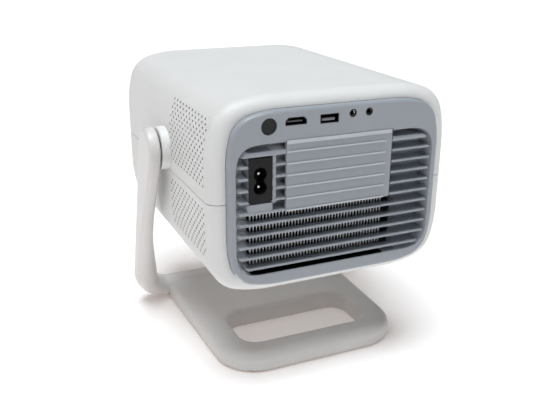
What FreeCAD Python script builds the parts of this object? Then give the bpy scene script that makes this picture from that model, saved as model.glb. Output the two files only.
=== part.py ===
"""Portable projector with a built-in disc drive, hung in a tilting yoke on a flat stand.

Millimetres. +Z is up, the lens and the disc tray face -Y, the louvres and sockets face +Y.
The origin lies on the table under the middle of the whole object.
Heights named REL_* are measured from the middle of the case.
"""

import FreeCAD, Part
import math
import os

V = FreeCAD.Vector
X_AXIS = V(1, 0, 0)
Y_AXIS = V(0, 1, 0)
Z_AXIS = V(0, 0, 1)

# ---------------------------------------------------------------- driving dimensions
# Case
CASE_W = 169.7
CASE_H = 128.2
CASE_L = 208.0
CASE_NOSE_R = 22.0  # tightest part of each corner of the section
CASE_FLANK_R = 90.0  # gentle arcs that lead into each corner
CASE_BLEND_DEG = 15.0  # turn taken by each gentle arc
CASE_WALL = 2.6
CASE_REAR_R = 8.5
CASE_FRONT_R = 15.0
CASE_MID_Z = 132.0
SEAM_GAP = 0.4
SEAM_DEPTH = 1.1
LIP_H = 2.4
LIP_END = 6.0  # from the perforated fields forward to the seam's lip
FIT_GAP = 0.15  # between parts that drop into each other
PLAY = 0.3  # between parts that move past each other
SCREW_R = 1.5
BOSS_R = 3.6
BOSS_GAP = 1.0  # between the disc drive and each boss
BOSS_FRONT = 24.0  # from the case's front to the front pair
BOSS_PIVOT = 26.0  # from the pivots forward to the rear pair
SCREW_SINK = 14.0  # from the case's bottom to each screw's seat
SCREW_REACH = 12.0  # past the case's middle
SCREW_HEAD_T = 2.0
SCREW_END = 1.0  # from each screw's tip to the bottom of its hole

# Rear panel
PANEL_SIDE = 10.75  # from each side of the case to the panel
PANEL_OVER = 7.45  # from the case's top and bottom to the panel
PANEL_REL = -0.4
PANEL_NOSE_R = 18.0
PANEL_FLANK_R = 70.0
PANEL_PROUD = 5.0
PANEL_DEPTH = 18.0
PANEL_WALL = 2.4
PANEL_EDGE_R = 2.6
RECESS_SIDE = 4.5  # from the panel's sides to the recess
RECESS_OVER = 19.55  # from the panel's top to the recess
RECESS_UNDER = 8.45  # from the panel's bottom to the recess
RECESS_DEPTH = 10.5
RECESS_SLOPE = 3.4  # how far each recess wall leans in over its depth
RECESS_R = 15.0
RECESS_WALL = 1.8
FIN_COUNT = 11
FIN_OVER = 6.3  # from the recess's top to the top fin
FIN_UNDER = 4.7  # from the recess's bottom to the lowest fin
FIN_T = 1.4
FIN_ROOT_T = 2.0
LEDGE_T = 3.3  # the top fin is a thicker ledge
FIN_END_GAP = 2.0  # between a fin's nose and the recess's mouth
VENT_SIDE_RIGHT = 23.5  # from the recess's right side to the vent
VENT_SIDE_LEFT = 10.6
VENT_LIFT = 0.8  # from the recess's bottom to the vent
VENT_LIP = 2.4  # depth of the recess's wall left in front of the vent
SLAT_D = 5.8  # depth left of the fins that cross the vent
FLOOR_T = 1.5

# Ribbed plate over the middle of the louvres
COVER_SIDE_RIGHT = 31.3  # from the recess's right side to the plate
COVER_SIDE_LEFT = 33.0
COVER_OVER = 0.8  # how far the plate rises past the recess's top
COVER_T = 2.4
COVER_PROUD = 0.7
COVER_ROLL_R = 2.0
COVER_RIBS = 5  # one over each fin above the vent
RIB_T = 1.0
RIB_SHORT = 5.0  # from the plate's rolled side to its ribs
BEAD_H = 2.4
BEAD_R = 0.6

# Mains inlet
INLET_SIDE = 16.15  # from the recess's side to the inlet's middle
INLET_SILL = 6.0  # from the vent's upper fin to the inlet
INLET_W = 15.9
INLET_H = 28.9
INLET_D = 20.0
INLET_SET_BACK = 0.8
INLET_CHAMFER = 2.0
INLET_WELL_R = 4.3
INLET_WELL_D = 12.0
PIN_SPACING = 8.6
PIN_R = 1.2
PIN_SET_BACK = 2.5
INLET_STRIP_W = 2.2
INLET_TAIL = 3.0  # how far the pins stand out behind

# Sockets and receiver window along the top of the rear panel, each set down from its top edge
WINDOW_SIDE = 21.5  # from the recess's side to the window's middle
WINDOW_DOWN = 9.35
WINDOW_R = 5.2
WINDOW_T = 2.0
WINDOW_SET_BACK = 1.4
HDMI_STEP = 17.6  # from the window to the HDMI socket
HDMI_DOWN = 7.35
HDMI_W = 14.3
HDMI_H = 4.9
HDMI_CUT = 2.0
HDMI_TONGUE_T = 0.9
HDMI_TONGUE_LIFT = 0.3
USB_STEP = 22.6  # from the HDMI socket to the USB socket
USB_DOWN = 7.75
USB_W = 12.9
USB_H = 5.8
USB_TONGUE_T = 1.8
USB_TONGUE_LIFT = 0.8
SOCKET_D = 14.0
SOCKET_T = 0.35
SOCKET_END_T = 1.5
SOCKET_SET_BACK = 0.4
TONGUE_BACK = 4.4  # how far a contact tongue stays behind the mouth
JACK_STEP = 16.25  # from the USB socket to the first jack
JACK_SPACING = 11.55
JACK_DOWN = 5.95
JACK_R = 2.6
JACK_BORE_R = 1.8
JACK_D = 14.0
JACK_END_T = 1.2
JACK_SET_BACK = 0.3
BOARD_DOWN = 10.55  # from the panel's top edge to the main board's upper face
BOARD_SIDE = 16.1  # from the panel's side to the main board

# Perforated fields in the case's sides
GRILLE_TO_PIVOT = 1.85  # from the hub's spigot back to the fields
GRILLE_BEHIND = 8.85  # from the case's rear rim to the fields
GRILLE_OVER = 12.6  # from the case's top to the upper field
GRILLE_UNDER = 24.6  # from the case's bottom to the lower field
GRILLE_BAR_BOTTOM = -3.8  # the closed band between the fields
GRILLE_BAR_H = 11.8
GRILLE_R = 3.0

# Front panel, lens and tray slot
FRONT_SIDE = 16.25  # from each side of the case to the panel
FRONT_OVER = 16.7  # from the case's top and bottom to the panel
FRONT_NOSE_R = 12.0
FRONT_FLANK_R = 45.0
FRONT_T = 2.6
FRONT_FLANGE = 3.0  # lip behind the case's wall
FRONT_RIM_H = 1.5
FRONT_RIM_T = 1.2
FRONT_SET_BACK = 1.2
LENS_RING_OVER = 4.9  # from the panel's top to the lens ring
LENS_RING_R = 27.0
LENS_RING_BORE = 21.6
LENS_RING_D = 7.0
RING_PROUD = 0.6
RING_EDGE = 0.8
RING_FLARE = 2.2
RING_LIP = 1.2
BARREL_R = 20.0
BARREL_WALL = 1.6
BARREL_L = 36.0
BARREL_SET_BACK = 8.0
BARREL_LIP = 2.0
MOUNT_WALL = 2.2
MOUNT_T = 3.0
GLASS_R = 17.0
GLASS_IN = 6.5  # from the barrel's front to the seat of the glass
GLASS_LEDGE = 1.2
GLASS_EDGE_T = 3.0
GLASS_SAG = 3.5

# Focus drive
GEAR_MODULE = 1.0
GEAR_TEETH = 48
PINION_TEETH = 12
GEAR_FACE = 5.0
GEAR_ADDENDUM = 0.7
GEAR_BACKLASH = 0.35
GEAR_SET_BACK = 26.0
PINION_ANGLE = 52.5
FOCUS_MOTOR_R = 6.0
FOCUS_SHAFT_R = 1.0
FOCUS_SHAFT_IN = 4.0  # length of shaft inside the motor
SHAFT_BARE = 1.5  # between the motor and the pinion
SHAFT_TIP = 1.0

# Light engine
ENGINE_HALF_W = 38.0
ENGINE_AHEAD = 4.85  # from the barrel's rear end to the light engine
ENGINE_TO_FAN = 10.0
ENGINE_WALL = 2.0
ENGINE_THROAT = 16.0  # from the picture panel forward to where the box starts to narrow
LCD_W = 58.0
LCD_H = 36.0
LCD_T = 2.4
LCD_GLASS_T = 1.2
LCD_BORDER = 3.0
LCD_TO_LAMP = 50.0
FRESNEL_T = 2.0
FRESNEL_BORDER = 2.0
FRESNEL_SPREAD = 8.0  # from the picture panel to each condenser sheet
LED_BLOCK = 30.0
LED_T = 6.0
LED_CHIP_T = 1.2
PIPE_R = 2.5
PIPE_BEND = 8.0
PIPE_X = 8.0

# Heat sink and fan
SINK_BEHIND_SLATS = 0.6
SINK_UNDER_VENT = 0.3  # from the vent's upper edge to the sink's top
SINK_LIFT = 0.5  # from the lowest fin's middle up to the comb
SINK_SIDE = 0.6  # from the vent's left edge to the comb
SINK_W = 94.4
SINK_TO_FAN = 4.0
SINK_BASE_T = 3.0
SINK_PITCH = 2.23
SINK_FIN_T = 0.7
FAN_T = 14.0
FAN_X = 12.0
FAN_LIFT = 5.85  # from the case's floor to the fan
FAN_UNDER_PIPES = 0.6
FAN_RIM = 1.5  # frame left beside the duct
FAN_CORNER_R = 3.0
FAN_HOLE_IN = 3.5
FAN_STRUT_T = 2.0
FAN_STRUT_W = 2.4
FAN_POST_R = 1.5
FAN_END_GAP = 1.0
FAN_HUB_R = 9.0
FAN_BLADES = 7
FAN_BLADE_T = 1.1
FAN_TIP_GAP = 0.8

# Boards, supply and speakers
BOARD_T = 1.6
BOARD_OVERLAP = 22.0  # how far the main board reaches over the light engine
BOARD_END_GAP = 1.2
CHIP_W = 18.0
CHIP_T = 2.2
MEMORY_W = 12.0
MEMORY_T = 1.4
PLUG_W = 9.0
PLUG_H = 5.0
FRAME_T = 2.0
FRAME_AHEAD = 12.0  # from the case's front to the inner frame
FRAME_TO_FAN = 4.0
FRAME_R = 6.0
RIB_WALL = 2.0
RIB_IN = 8.0  # from the edge of what a cradle rib carries
SUPPLY_SIDE = 36.85  # from the case's side to the supply board
SUPPLY_AHEAD = 20.85  # from the case's front to the supply board
SUPPLY_L = 100.0
SUPPLY_LIFT = 4.5
SUPPLY_HEADROOM = 5.4  # from the supply's tallest piece to the disc drive
TRANSFORMER_W = 30.0
TRANSFORMER_L = 26.0
TRANSFORMER_R = 3.0
CAPACITOR_R = 7.0
SUPPLY_SINK_T = 4.0
SUPPLY_SINK_L = 36.0
SPEAKER_OVER = 37.1  # from the case's top to the speaker's middle
SPEAKER_L = 54.0
SPEAKER_H = 34.0
SPEAKER_D = 13.0
SPEAKER_IN = 5.45  # from the case's side to the speaker's face
SPEAKER_RIM = 4.0
SPEAKER_DISH = 3.0
CONE_R = 10.0
CONE_H = 2.4

# Disc drive
DRIVE_SIDE = 3.2  # from the front panel's side to the drive
DRIVE_UNDER_LENS = 3.5
DRIVE_H = 18.0
DRIVE_SHEET = 0.8
DRIVE_EDGE_R = 1.2
DRIVE_TO_FAN = 12.0
RAIL_W = 4.0
TRAY_SIDE_GAP = 0.7
TRAY_LIFT = 2.6  # from the drive's underside to the tray's
TRAY_H = 8.0
TRAY_DISH = 2.6  # from the tray's rim down to its floor
TRAY_DIP = 0.6  # the middle of the floor lies this much lower
TRAY_DIP_R = 42.0
TRAY_SKIN = 1.6
TRAY_WALL = 3.0
TRAY_R = 4.0
TRAY_WEB_T = 1.6
TRAY_WEB_X = 34.5
TRAY_BAR_T = 1.8
TRAY_AHEAD = 2.75  # tray left in front of the disc's well
TRAY_END = 6.0  # tray left behind the pickup's travel
TRAY_TO_DRIVE = 7.0  # from the tray's rear to the drive's
DISC_R = 60.0
DISC_PLAY = 1.2
HUB_BORE_R = 7.4  # a disc's centre hole is 15 mm across
BEZEL_SIDE = 4.4  # from the front panel's side to the bezel
BEZEL_UP = 2.4  # from the drive's underside to the bezel
BEZEL_DOWN = 2.6  # from the drive's top to the bezel
BEZEL_R = 1.6
BEZEL_EDGE_R = 0.7
BEZEL_T = 3.2
BEZEL_PROUD = 0.5
SLOT_GAP = 0.45
BUTTON_SIDE = 18.2  # from the bezel's end to the button's middle
BUTTON_W = 9.0
BUTTON_H = 3.0
BUTTON_PROUD = 0.6
BUTTON_D = 2.2
PINHOLE_STEP = 12.0  # from the button's middle to the pinhole
PINHOLE_R = 0.7
PLATTER_R = 14.0
PLATTER_LIFT = 0.7  # above the tray's floor
PLATTER_T = 1.0
HUB_H = 3.5
HUB_TAPER = 1.0
BALL_R = 1.0
SPINDLE_R = 11.5
SPINDLE_SHAFT_R = 1.2
SPINDLE_UP = 0.2
EAR_W = 6.0
EAR_T = 1.0
EAR_REACH = 2.4
SLED_W = 40.0
SLED_L = 15.0
SLED_TRAVEL = 28.0
SLED_INNER = 17.0  # from the disc's centre to the sled's near edge
SLED_ARM_END = 3.0  # past the screw's middle
SLED_ARM_W = 4.0
SLED_UP = 0.2
SLED_DOWN = 0.9
SLED_R = 2.0
PICKUP_LENS_R = 2.6
PICKUP_LENS_T = 0.5
ROD_SEAT = 1.0  # how far the rods and the screw enter the tray's rear wall
ROD_R = 1.25
ROD_X = 15.0
SCREW_X = 25.5
LEAD_R = 1.4
LEAD_LIFT = 2.4  # from the tray's underside to the rods and the screw
LEAD_IN = 2.0  # length of screw inside its motor
LEAD_END = 1.0
SLED_MOTOR_R = 2.6
SLED_MOTOR_L = 11.0

# Yoke, pivots and base
PIVOT_Y = 10.15
PIVOT_REL = 13.5
YOKE_LEAN = 24.1
ARM_CLEAR = 6.75  # from the case's side to the arm
TUBE_R = 8.8
TUBE_LIFT = 0.2
WELD = 0.005  # largest mismatch closed where the yoke's lengths meet
TUBE_FLAT = 0.5  # narrow flats left between the tube's rounded corners
BEND_R = 22.0
ARM_T = 8.6
ARM_HEAD_R = 15.0
ARM_EDGE_R = 3.0
HUB_R = 15.0
HUB_GAP = 0.3
WASHER_T = 0.6
WASHER_R = 11.0
SPIGOT_R = 8.0
SHAFT_R = 4.0
SHAFT_FIT = 0.05
NUT_R = 7.0
NUT_T = 4.0
BASE_T = 14.0
BASE_LIFT = 0.8
BASE_REAR_Y = 90.65
BASE_REAR_HALF_W = 68.2
BASE_FRONT_HALF_W = 72.4
BASE_CORNER_R = 30.0
BASE_TOP_R = 6.5
BASE_BOTTOM_R = 3.0
SLOT_HALF_W = 50.0
SLOT_FRONT_Y = 24.5
SLOT_REAR_Y = 71.5
SLOT_R = 13.0
SLOT_EDGE_R = 3.5
DOWEL_R = 3.0
DOWEL_L = 26.0
DOWEL_X = 42.0
FOOT_L = 22.0
FOOT_W = 7.0
FOOT_SUNK = 0.7
FOOT_IN = 9.0  # from the base's rear edge to the rear pads
FOOT_IN_REAR = 26.0
FOOT_IN_FRONT = 18.0
FOOT_BEHIND_TUBE = 12.32

# ---------------------------------------------------------------- places worked out
TOTAL_L = CASE_L + PANEL_PROUD + COVER_PROUD
FRONT_Y = -TOTAL_L / 2
RIM_Y = FRONT_Y + CASE_L
PANEL_Y = RIM_Y + PANEL_PROUD
PIVOT_Z = CASE_MID_Z + PIVOT_REL
TUBE_Z = TUBE_R + TUBE_LIFT
ARM_L = (PIVOT_Z - TUBE_Z) / math.cos(math.radians(YOKE_LEAN))
TUBE_Y = PIVOT_Y - ARM_L * math.sin(math.radians(YOKE_LEAN))
ARM_DOWN = V(0, -math.sin(math.radians(YOKE_LEAN)), -math.cos(math.radians(YOKE_LEAN)))
ARM_ACROSS = V(0, -ARM_DOWN.z, ARM_DOWN.y)
YOKE_OUT_X = CASE_W / 2 + ARM_CLEAR + ARM_T
HUB_OUT_X = YOKE_OUT_X - ARM_T - HUB_GAP - WASHER_T
PANEL_W = CASE_W - 2 * PANEL_SIDE
PANEL_H = CASE_H - 2 * PANEL_OVER
PANEL_TOP = PANEL_REL + PANEL_H / 2
RECESS_HALF_W = PANEL_W / 2 - RECESS_SIDE
RECESS_TOP = PANEL_TOP - RECESS_OVER
RECESS_BOTTOM = PANEL_TOP - PANEL_H + RECESS_UNDER
FIN_TOP_REL = RECESS_TOP - FIN_OVER
FIN_LOW_REL = RECESS_BOTTOM + FIN_UNDER
FIN_PITCH = (FIN_TOP_REL - FIN_LOW_REL) / (FIN_COUNT - 1)
VENT_TOP = FIN_TOP_REL - COVER_RIBS * FIN_PITCH
VENT_BOTTOM = RECESS_BOTTOM + VENT_LIFT
VENT_RIGHT = VENT_SIDE_RIGHT - RECESS_HALF_W
VENT_LEFT = RECESS_HALF_W - VENT_SIDE_LEFT
COVER_RIGHT = COVER_SIDE_RIGHT - RECESS_HALF_W
COVER_LEFT = RECESS_HALF_W - COVER_SIDE_LEFT
COVER_TOP = RECESS_TOP + COVER_OVER
COVER_BOTTOM = VENT_TOP - FIN_ROOT_T / 2
INLET_X = RECESS_HALF_W - INLET_SIDE
INLET_REL = VENT_TOP + INLET_SILL + INLET_H / 2
WINDOW_X = RECESS_HALF_W - WINDOW_SIDE
HDMI_X = WINDOW_X - HDMI_STEP
USB_X = HDMI_X - USB_STEP
JACK_XS = (USB_X - JACK_STEP, USB_X - JACK_STEP - JACK_SPACING)
WINDOW_REL = PANEL_TOP - WINDOW_DOWN
HDMI_REL = PANEL_TOP - HDMI_DOWN
USB_REL = PANEL_TOP - USB_DOWN
JACK_REL = PANEL_TOP - JACK_DOWN
BOARD_TOP = PANEL_TOP - BOARD_DOWN
BOARD_HALF_W = PANEL_W / 2 - BOARD_SIDE
GRILLE_REAR_Y = RIM_Y - GRILLE_BEHIND
GRILLE_FRONT_Y = PIVOT_Y + SPIGOT_R + GRILLE_TO_PIVOT
GRILLE_UPPER = (GRILLE_BAR_BOTTOM + GRILLE_BAR_H, CASE_H / 2 - GRILLE_OVER)
GRILLE_LOWER = (GRILLE_UNDER - CASE_H / 2, GRILLE_BAR_BOTTOM)
SPEAKER_X = CASE_W / 2 - SPEAKER_IN
SPEAKER_Y = (GRILLE_FRONT_Y + GRILLE_REAR_Y) / 2
SPEAKER_REL = CASE_H / 2 - SPEAKER_OVER
FRONT_HALF_W = CASE_W / 2 - FRONT_SIDE
FRONT_HALF_H = CASE_H / 2 - FRONT_OVER
LENS_REL = FRONT_HALF_H - LENS_RING_OVER - LENS_RING_R
DRIVE_TOP = LENS_REL - LENS_RING_R - DRIVE_UNDER_LENS
DRIVE_BOTTOM = DRIVE_TOP - DRIVE_H
DRIVE_HALF_W = FRONT_HALF_W - DRIVE_SIDE
BEZEL_HALF_W = FRONT_HALF_W - BEZEL_SIDE
BUTTON_X = BEZEL_HALF_W - BUTTON_SIDE
PINHOLE_X = BUTTON_X - PINHOLE_STEP
BEZEL_BOTTOM = DRIVE_BOTTOM + BEZEL_UP
BEZEL_TOP = DRIVE_TOP - BEZEL_DOWN
TRAY_BOTTOM = DRIVE_BOTTOM + TRAY_LIFT
TRAY_RIM = TRAY_BOTTOM + TRAY_H
TRAY_FLOOR = TRAY_RIM - TRAY_DISH
PLATTER_TOP = TRAY_FLOOR + PLATTER_LIFT
HUB_TOP = PLATTER_TOP + HUB_H
LEAD_REL = TRAY_BOTTOM + LEAD_LIFT
PANEL_FACE_Y = FRONT_Y + FRONT_SET_BACK
FLOOR_Y = PANEL_Y - RECESS_DEPTH
BARREL_Y = FRONT_Y + BARREL_SET_BACK
GEAR_Y = FRONT_Y + GEAR_SET_BACK
PITCH_R = GEAR_MODULE * GEAR_TEETH / 2
PINION_PITCH_R = GEAR_MODULE * PINION_TEETH / 2
GEAR_CENTRES = PITCH_R + PINION_PITCH_R
TRAY_HALF_W = DRIVE_HALF_W - DRIVE_SHEET - TRAY_SIDE_GAP
BEZEL_Y = PANEL_FACE_Y - BEZEL_PROUD
TRAY_FRONT_Y = BEZEL_Y + BEZEL_T
DISC_Y = TRAY_FRONT_Y + TRAY_AHEAD + DISC_PLAY + DISC_R
TRAY_REAR_Y = DISC_Y + SLED_INNER + SLED_L + SLED_TRAVEL + TRAY_END
DRIVE_FRONT_Y = PANEL_FACE_Y + FRONT_T + PLAY
DRIVE_REAR_Y = TRAY_REAR_Y + TRAY_TO_DRIVE
FAN_FRONT_Y = DRIVE_REAR_Y + DRIVE_TO_FAN
FAN_REAR_Y = FAN_FRONT_Y + FAN_T
SINK_FRONT_Y = FAN_REAR_Y + SINK_TO_FAN
SINK_REAR_Y = PANEL_Y - SLAT_D - SINK_BEHIND_SLATS
SINK_TOP = VENT_TOP - SINK_UNDER_VENT
SINK_BOTTOM = FIN_LOW_REL + SINK_LIFT
SINK_LEFT = VENT_LEFT - SINK_SIDE
SINK_RIGHT = SINK_LEFT - SINK_W
FAN_SIZE = SINK_TOP - FAN_UNDER_PIPES + CASE_H / 2 - CASE_WALL - FAN_LIFT
FAN_REL = SINK_TOP - FAN_UNDER_PIPES - FAN_SIZE / 2
FAN_BORE = FAN_SIZE / 2 - FAN_RIM
ENGINE_FRONT_Y = BARREL_Y + BARREL_L + ENGINE_AHEAD
ENGINE_REAR_Y = FAN_FRONT_Y - ENGINE_TO_FAN
LCD_Y = ENGINE_REAR_Y - LCD_TO_LAMP
BOARD_FRONT_Y = ENGINE_REAR_Y - BOARD_OVERLAP
FRAME_REAR_Y = FAN_FRONT_Y - FRAME_TO_FAN
SUPPLY_HALF_W = CASE_W / 2 - SUPPLY_SIDE
SUPPLY_FRONT_Y = FRONT_Y + SUPPLY_AHEAD
SUPPLY_REAR_Y = SUPPLY_FRONT_Y + SUPPLY_L
SUPPLY_REL = CASE_WALL + SUPPLY_LIFT - CASE_H / 2
ENGINE_BOTTOM = DRIVE_TOP + FRAME_T
BOARD_REL = BOARD_TOP - BOARD_T
ENGINE_TOP = BOARD_REL


def level(rel):
    """Height above the table of a height measured from the case's middle."""
    return CASE_MID_Z + rel


# ---------------------------------------------------------------- general shapes
def block(x0, x1, y0, y1, z0, z1):
    """Box between three pairs of coordinates."""
    return Part.makeBox(x1 - x0, y1 - y0, z1 - z0, V(x0, y0, z0))


def rod(start, axis, radius, length):
    """Round bar from a start point along an axis."""
    return Part.makeCylinder(radius, length, start, axis)


def tube(start, axis, radius, bore, length):
    """Round bar with a hole through it."""
    return rod(start, axis, radius, length).cut(rod(start, axis, bore, length))


def join(shapes):
    """One solid from several that touch or overlap."""
    return shapes[0].multiFuse(shapes[1:]).removeSplitter()


def edges_in_plane(shape, axis, value):
    """Edges of a shape that lie wholly in the plane where one coordinate has a value."""
    low = axis + "Min"
    high = axis + "Max"
    return [e for e in shape.Edges
            if abs(getattr(e.BoundBox, low) - value) < 1e-4 and abs(getattr(e.BoundBox, high) - value) < 1e-4]


def edges_along(shape, axis):
    """Straight edges of a shape that run along an axis."""
    return [e for e in shape.Edges
            if isinstance(e.Curve, Part.Line) and abs(abs(e.Curve.Direction.dot(axis)) - 1) < 1e-6]


def soft_block(x0, x1, y0, y1, z0, z1, axis, radius):
    """Box whose four edges along one axis are rounded."""
    shape = block(x0, x1, y0, y1, z0, z1)
    return shape.makeFillet(radius, edges_along(shape, axis))


def prism(points, direction):
    """Solid swept from a closed polygon."""
    return Part.Face(Part.makePolygon(points + [points[0]])).extrude(direction)


def soft_outline(half_w, half_h, nose_r, flank_r, mid_z, y):
    """Rounded rectangle in a plane of constant Y whose corners tighten gently, arc by arc."""
    turn = math.radians(CASE_BLEND_DEG)
    reach = flank_r * (1 + math.sin(turn) - math.cos(turn)) + nose_r * (math.cos(turn) - math.sin(turn))
    flank_1 = (half_w - flank_r, half_h - reach)
    step_u = (flank_r - nose_r) * math.cos(turn)
    step_v = (flank_r - nose_r) * math.sin(turn)
    nose = (flank_1[0] + step_u, flank_1[1] + step_v)
    flank_2 = (nose[0] - step_v, nose[1] - step_u)
    quarter = math.pi / 2
    arcs = ((flank_1, flank_r, 0, turn), (nose, nose_r, turn, quarter - turn),
            (flank_2, flank_r, quarter - turn, quarter))

    def point(centre, radius, angle, side, up):
        x = centre[0] + radius * math.cos(angle)
        z = centre[1] + radius * math.sin(angle)
        return V(side * x, y, mid_z + up * z)

    edges = []
    last = None
    for side, up in ((1, 1), (-1, 1), (-1, -1), (1, -1)):
        ordered = arcs if side * up > 0 else [(c, r, b, a) for c, r, a, b in reversed(arcs)]
        for centre, radius, start, end in ordered:
            p = point(centre, radius, start, side, up)
            q = point(centre, radius, end, side, up)
            if last is not None and last.distanceToPoint(p) > 1e-6:
                edges.append(Part.LineSegment(last, p).toShape())
            edges.append(Part.Arc(p, point(centre, radius, (start + end) / 2, side, up), q).toShape())
            last = q
    edges.append(Part.LineSegment(last, point(*arcs[0][:3], 1, 1)).toShape())
    return Part.Wire(edges)


def soft_prism(half_w, half_h, nose_r, flank_r, mid_z, y0, y1):
    """Solid of soft_outline between two values of Y."""
    outline = soft_outline(half_w, half_h, nose_r, flank_r, mid_z, y0)
    return Part.Face(outline).extrude(V(0, y1 - y0, 0))


def case_solid(inset):
    """The case's outer form, or the same form drawn in evenly by an inset."""
    y0 = FRONT_Y + inset
    y1 = RIM_Y - inset
    form = soft_prism(CASE_W / 2 - inset, CASE_H / 2 - inset, CASE_NOSE_R - inset, CASE_FLANK_R - inset,
                      CASE_MID_Z, y0, y1)
    form = form.makeFillet(CASE_REAR_R - inset, edges_in_plane(form, "Y", y1))
    return form.makeFillet(CASE_FRONT_R - inset, edges_in_plane(form, "Y", y0))


def panel_prism(grow, y0, y1):
    """The rear panel's outline, grown outwards by a gap, between two values of Y."""
    return soft_prism(PANEL_W / 2 + grow, PANEL_H / 2 + grow, PANEL_NOSE_R + grow, PANEL_FLANK_R + grow,
                      level(PANEL_REL), y0, y1)


def front_prism(grow, y0, y1):
    """The front panel's outline, grown outwards by a gap, between two values of Y."""
    return soft_prism(FRONT_HALF_W + grow, FRONT_HALF_H + grow, FRONT_NOSE_R + grow, FRONT_FLANK_R + grow,
                      CASE_MID_Z, y0, y1)


# ---------------------------------------------------------------- case
def grille_windows(side):
    """Blocks that bound the two perforated fields on one side, for cutting and keeping."""
    reach = CASE_W / 2 + 1
    inner = CASE_W / 4
    x0, x1 = (inner, reach) if side > 0 else (-reach, -inner)
    return [soft_block(x0, x1, GRILLE_FRONT_Y, GRILLE_REAR_Y, level(low), level(high), X_AXIS, GRILLE_R)
            for low, high in (GRILLE_UPPER, GRILLE_LOWER)]


def boss_places():
    """Where the screws that hold the shells and the inner frame together stand."""
    x = DRIVE_HALF_W + BOSS_R + BOSS_GAP
    return [(side * x, y) for side in (-1, 1) for y in (FRONT_Y + BOSS_FRONT, PIVOT_Y - BOSS_PIVOT)]


def upright(x, y, radius, low, high, bounds):
    """Round post between two heights, trimmed to lie inside a form."""
    return rod(V(x, y, level(low)), Z_AXIS, radius, high - low).common(bounds)


def cradle_ribs(bounds):
    """Ribs on the lower shell's floor under the supply, the fan and the heat sink."""
    floor = -CASE_H / 2
    spans = []
    for side in (-1, 1):
        supply_x = side * (SUPPLY_HALF_W - RIB_IN)
        spans.append((supply_x, SUPPLY_FRONT_Y + RIB_WALL, SUPPLY_REAR_Y - RIB_WALL, SUPPLY_REL))
        spans.append((FAN_X + side * FAN_SIZE / 3, FAN_FRONT_Y, FAN_REAR_Y, FAN_REL - FAN_SIZE / 2))
    spans += [(x, SINK_FRONT_Y, PANEL_Y - PANEL_DEPTH - PLAY, SINK_BOTTOM)
              for x in (SINK_RIGHT + RIB_IN, SINK_LEFT - RIB_IN)]
    return [block(x - RIB_WALL / 2, x + RIB_WALL / 2, y0, y1, level(floor), level(top)).common(bounds)
            for x, y0, y1, top in spans]


def case_shells():
    """Upper and lower shell, open for the panels, the grilles and the pivots."""
    outer = case_solid(0)
    inner = case_solid(CASE_WALL)
    skin = outer.cut(inner)
    half_h = CASE_H / 2
    openings = [panel_prism(FIT_GAP, RIM_Y - CASE_FRONT_R, RIM_Y + 1),
                front_prism(FIT_GAP, FRONT_Y - 1, FRONT_Y + CASE_WALL + 1)]
    openings += grille_windows(1) + grille_windows(-1)
    openings.append(rod(V(-CASE_W, PIVOT_Y, PIVOT_Z), X_AXIS, SPIGOT_R, 2 * CASE_W))
    holes = [rod(V(x, y, level(-half_h)), Z_AXIS, SCREW_R, half_h + SCREW_REACH) for x, y in boss_places()]
    holes += [rod(V(x, y, level(-half_h)), Z_AXIS, 2 * SCREW_R, SCREW_SINK) for x, y in boss_places()]

    wide = 2 * CASE_L
    lip_front = FRONT_Y + 2 * CASE_FRONT_R
    lip_rear = GRILLE_FRONT_Y - LIP_END
    seam_low = level(-SEAM_GAP / 2)
    seam_high = level(SEAM_GAP / 2)
    pivot_hole = rod(V(-CASE_W, PIVOT_Y, PIVOT_Z), X_AXIS, SPIGOT_R + FIT_GAP, 2 * CASE_W)
    lip = case_solid(SEAM_DEPTH + FIT_GAP).cut(inner)
    lip = lip.common(block(-wide, wide, lip_front, lip_rear, seam_low, level(LIP_H))).cut(pivot_hole)
    groove = block(-wide, wide, lip_front - FIT_GAP, lip_rear + FIT_GAP, seam_low, level(LIP_H + FIT_GAP))
    groove = case_solid(SEAM_DEPTH).common(groove)
    skin = skin.cut(Part.makeCompound(openings))
    upper = skin.common(block(-wide, wide, -wide, wide, seam_high, level(CASE_H))).cut(groove)
    upper_posts = [upright(x, y, BOSS_R, DRIVE_TOP + FRAME_T, half_h, inner) for x, y in boss_places()]
    lower = skin.common(block(-wide, wide, -wide, wide, level(-CASE_H), seam_low))
    lower_posts = [upright(x, y, BOSS_R, -half_h, DRIVE_TOP, inner) for x, y in boss_places()]
    holes = Part.makeCompound(holes)
    upper = join([upper] + upper_posts).cut(holes)
    lower = join([lower, lip] + lower_posts + cradle_ribs(inner)).cut(holes)
    return upper, lower


def inner_frame():
    """Steel plate between the disc drive and the light engine, clamped by the case's screws."""
    x = boss_places()[-1][0] + BOSS_R
    z = level(DRIVE_TOP)
    plate = soft_block(-x, x, FRONT_Y + FRAME_AHEAD, FRAME_REAR_Y, z, z + FRAME_T, Z_AXIS, FRAME_R)
    holes = [rod(V(bx, by, z - 1), Z_AXIS, SCREW_R, FRAME_T + 2) for bx, by in boss_places()]
    return plate.cut(Part.makeCompound(holes))


def side_grilles(side):
    """The two perforated fields of one side, flush with the case; the small holes are left closed here."""
    skin = case_solid(0).cut(case_solid(CASE_WALL))
    return Part.makeCompound([skin.common(window) for window in grille_windows(side)])


def case_screws():
    """Four long screws that come up through the lower shell and the inner frame."""
    screws = []
    for x, y in boss_places():
        seat = level(-CASE_H / 2 + SCREW_SINK)
        head = rod(V(x, y, seat - SCREW_HEAD_T), Z_AXIS, 1.8 * SCREW_R, SCREW_HEAD_T)
        shank = rod(V(x, y, seat), Z_AXIS, SCREW_R, CASE_H / 2 - SCREW_SINK + SCREW_REACH - SCREW_END)
        screws.append(head.fuse(shank))
    return Part.makeCompound(screws)


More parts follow.
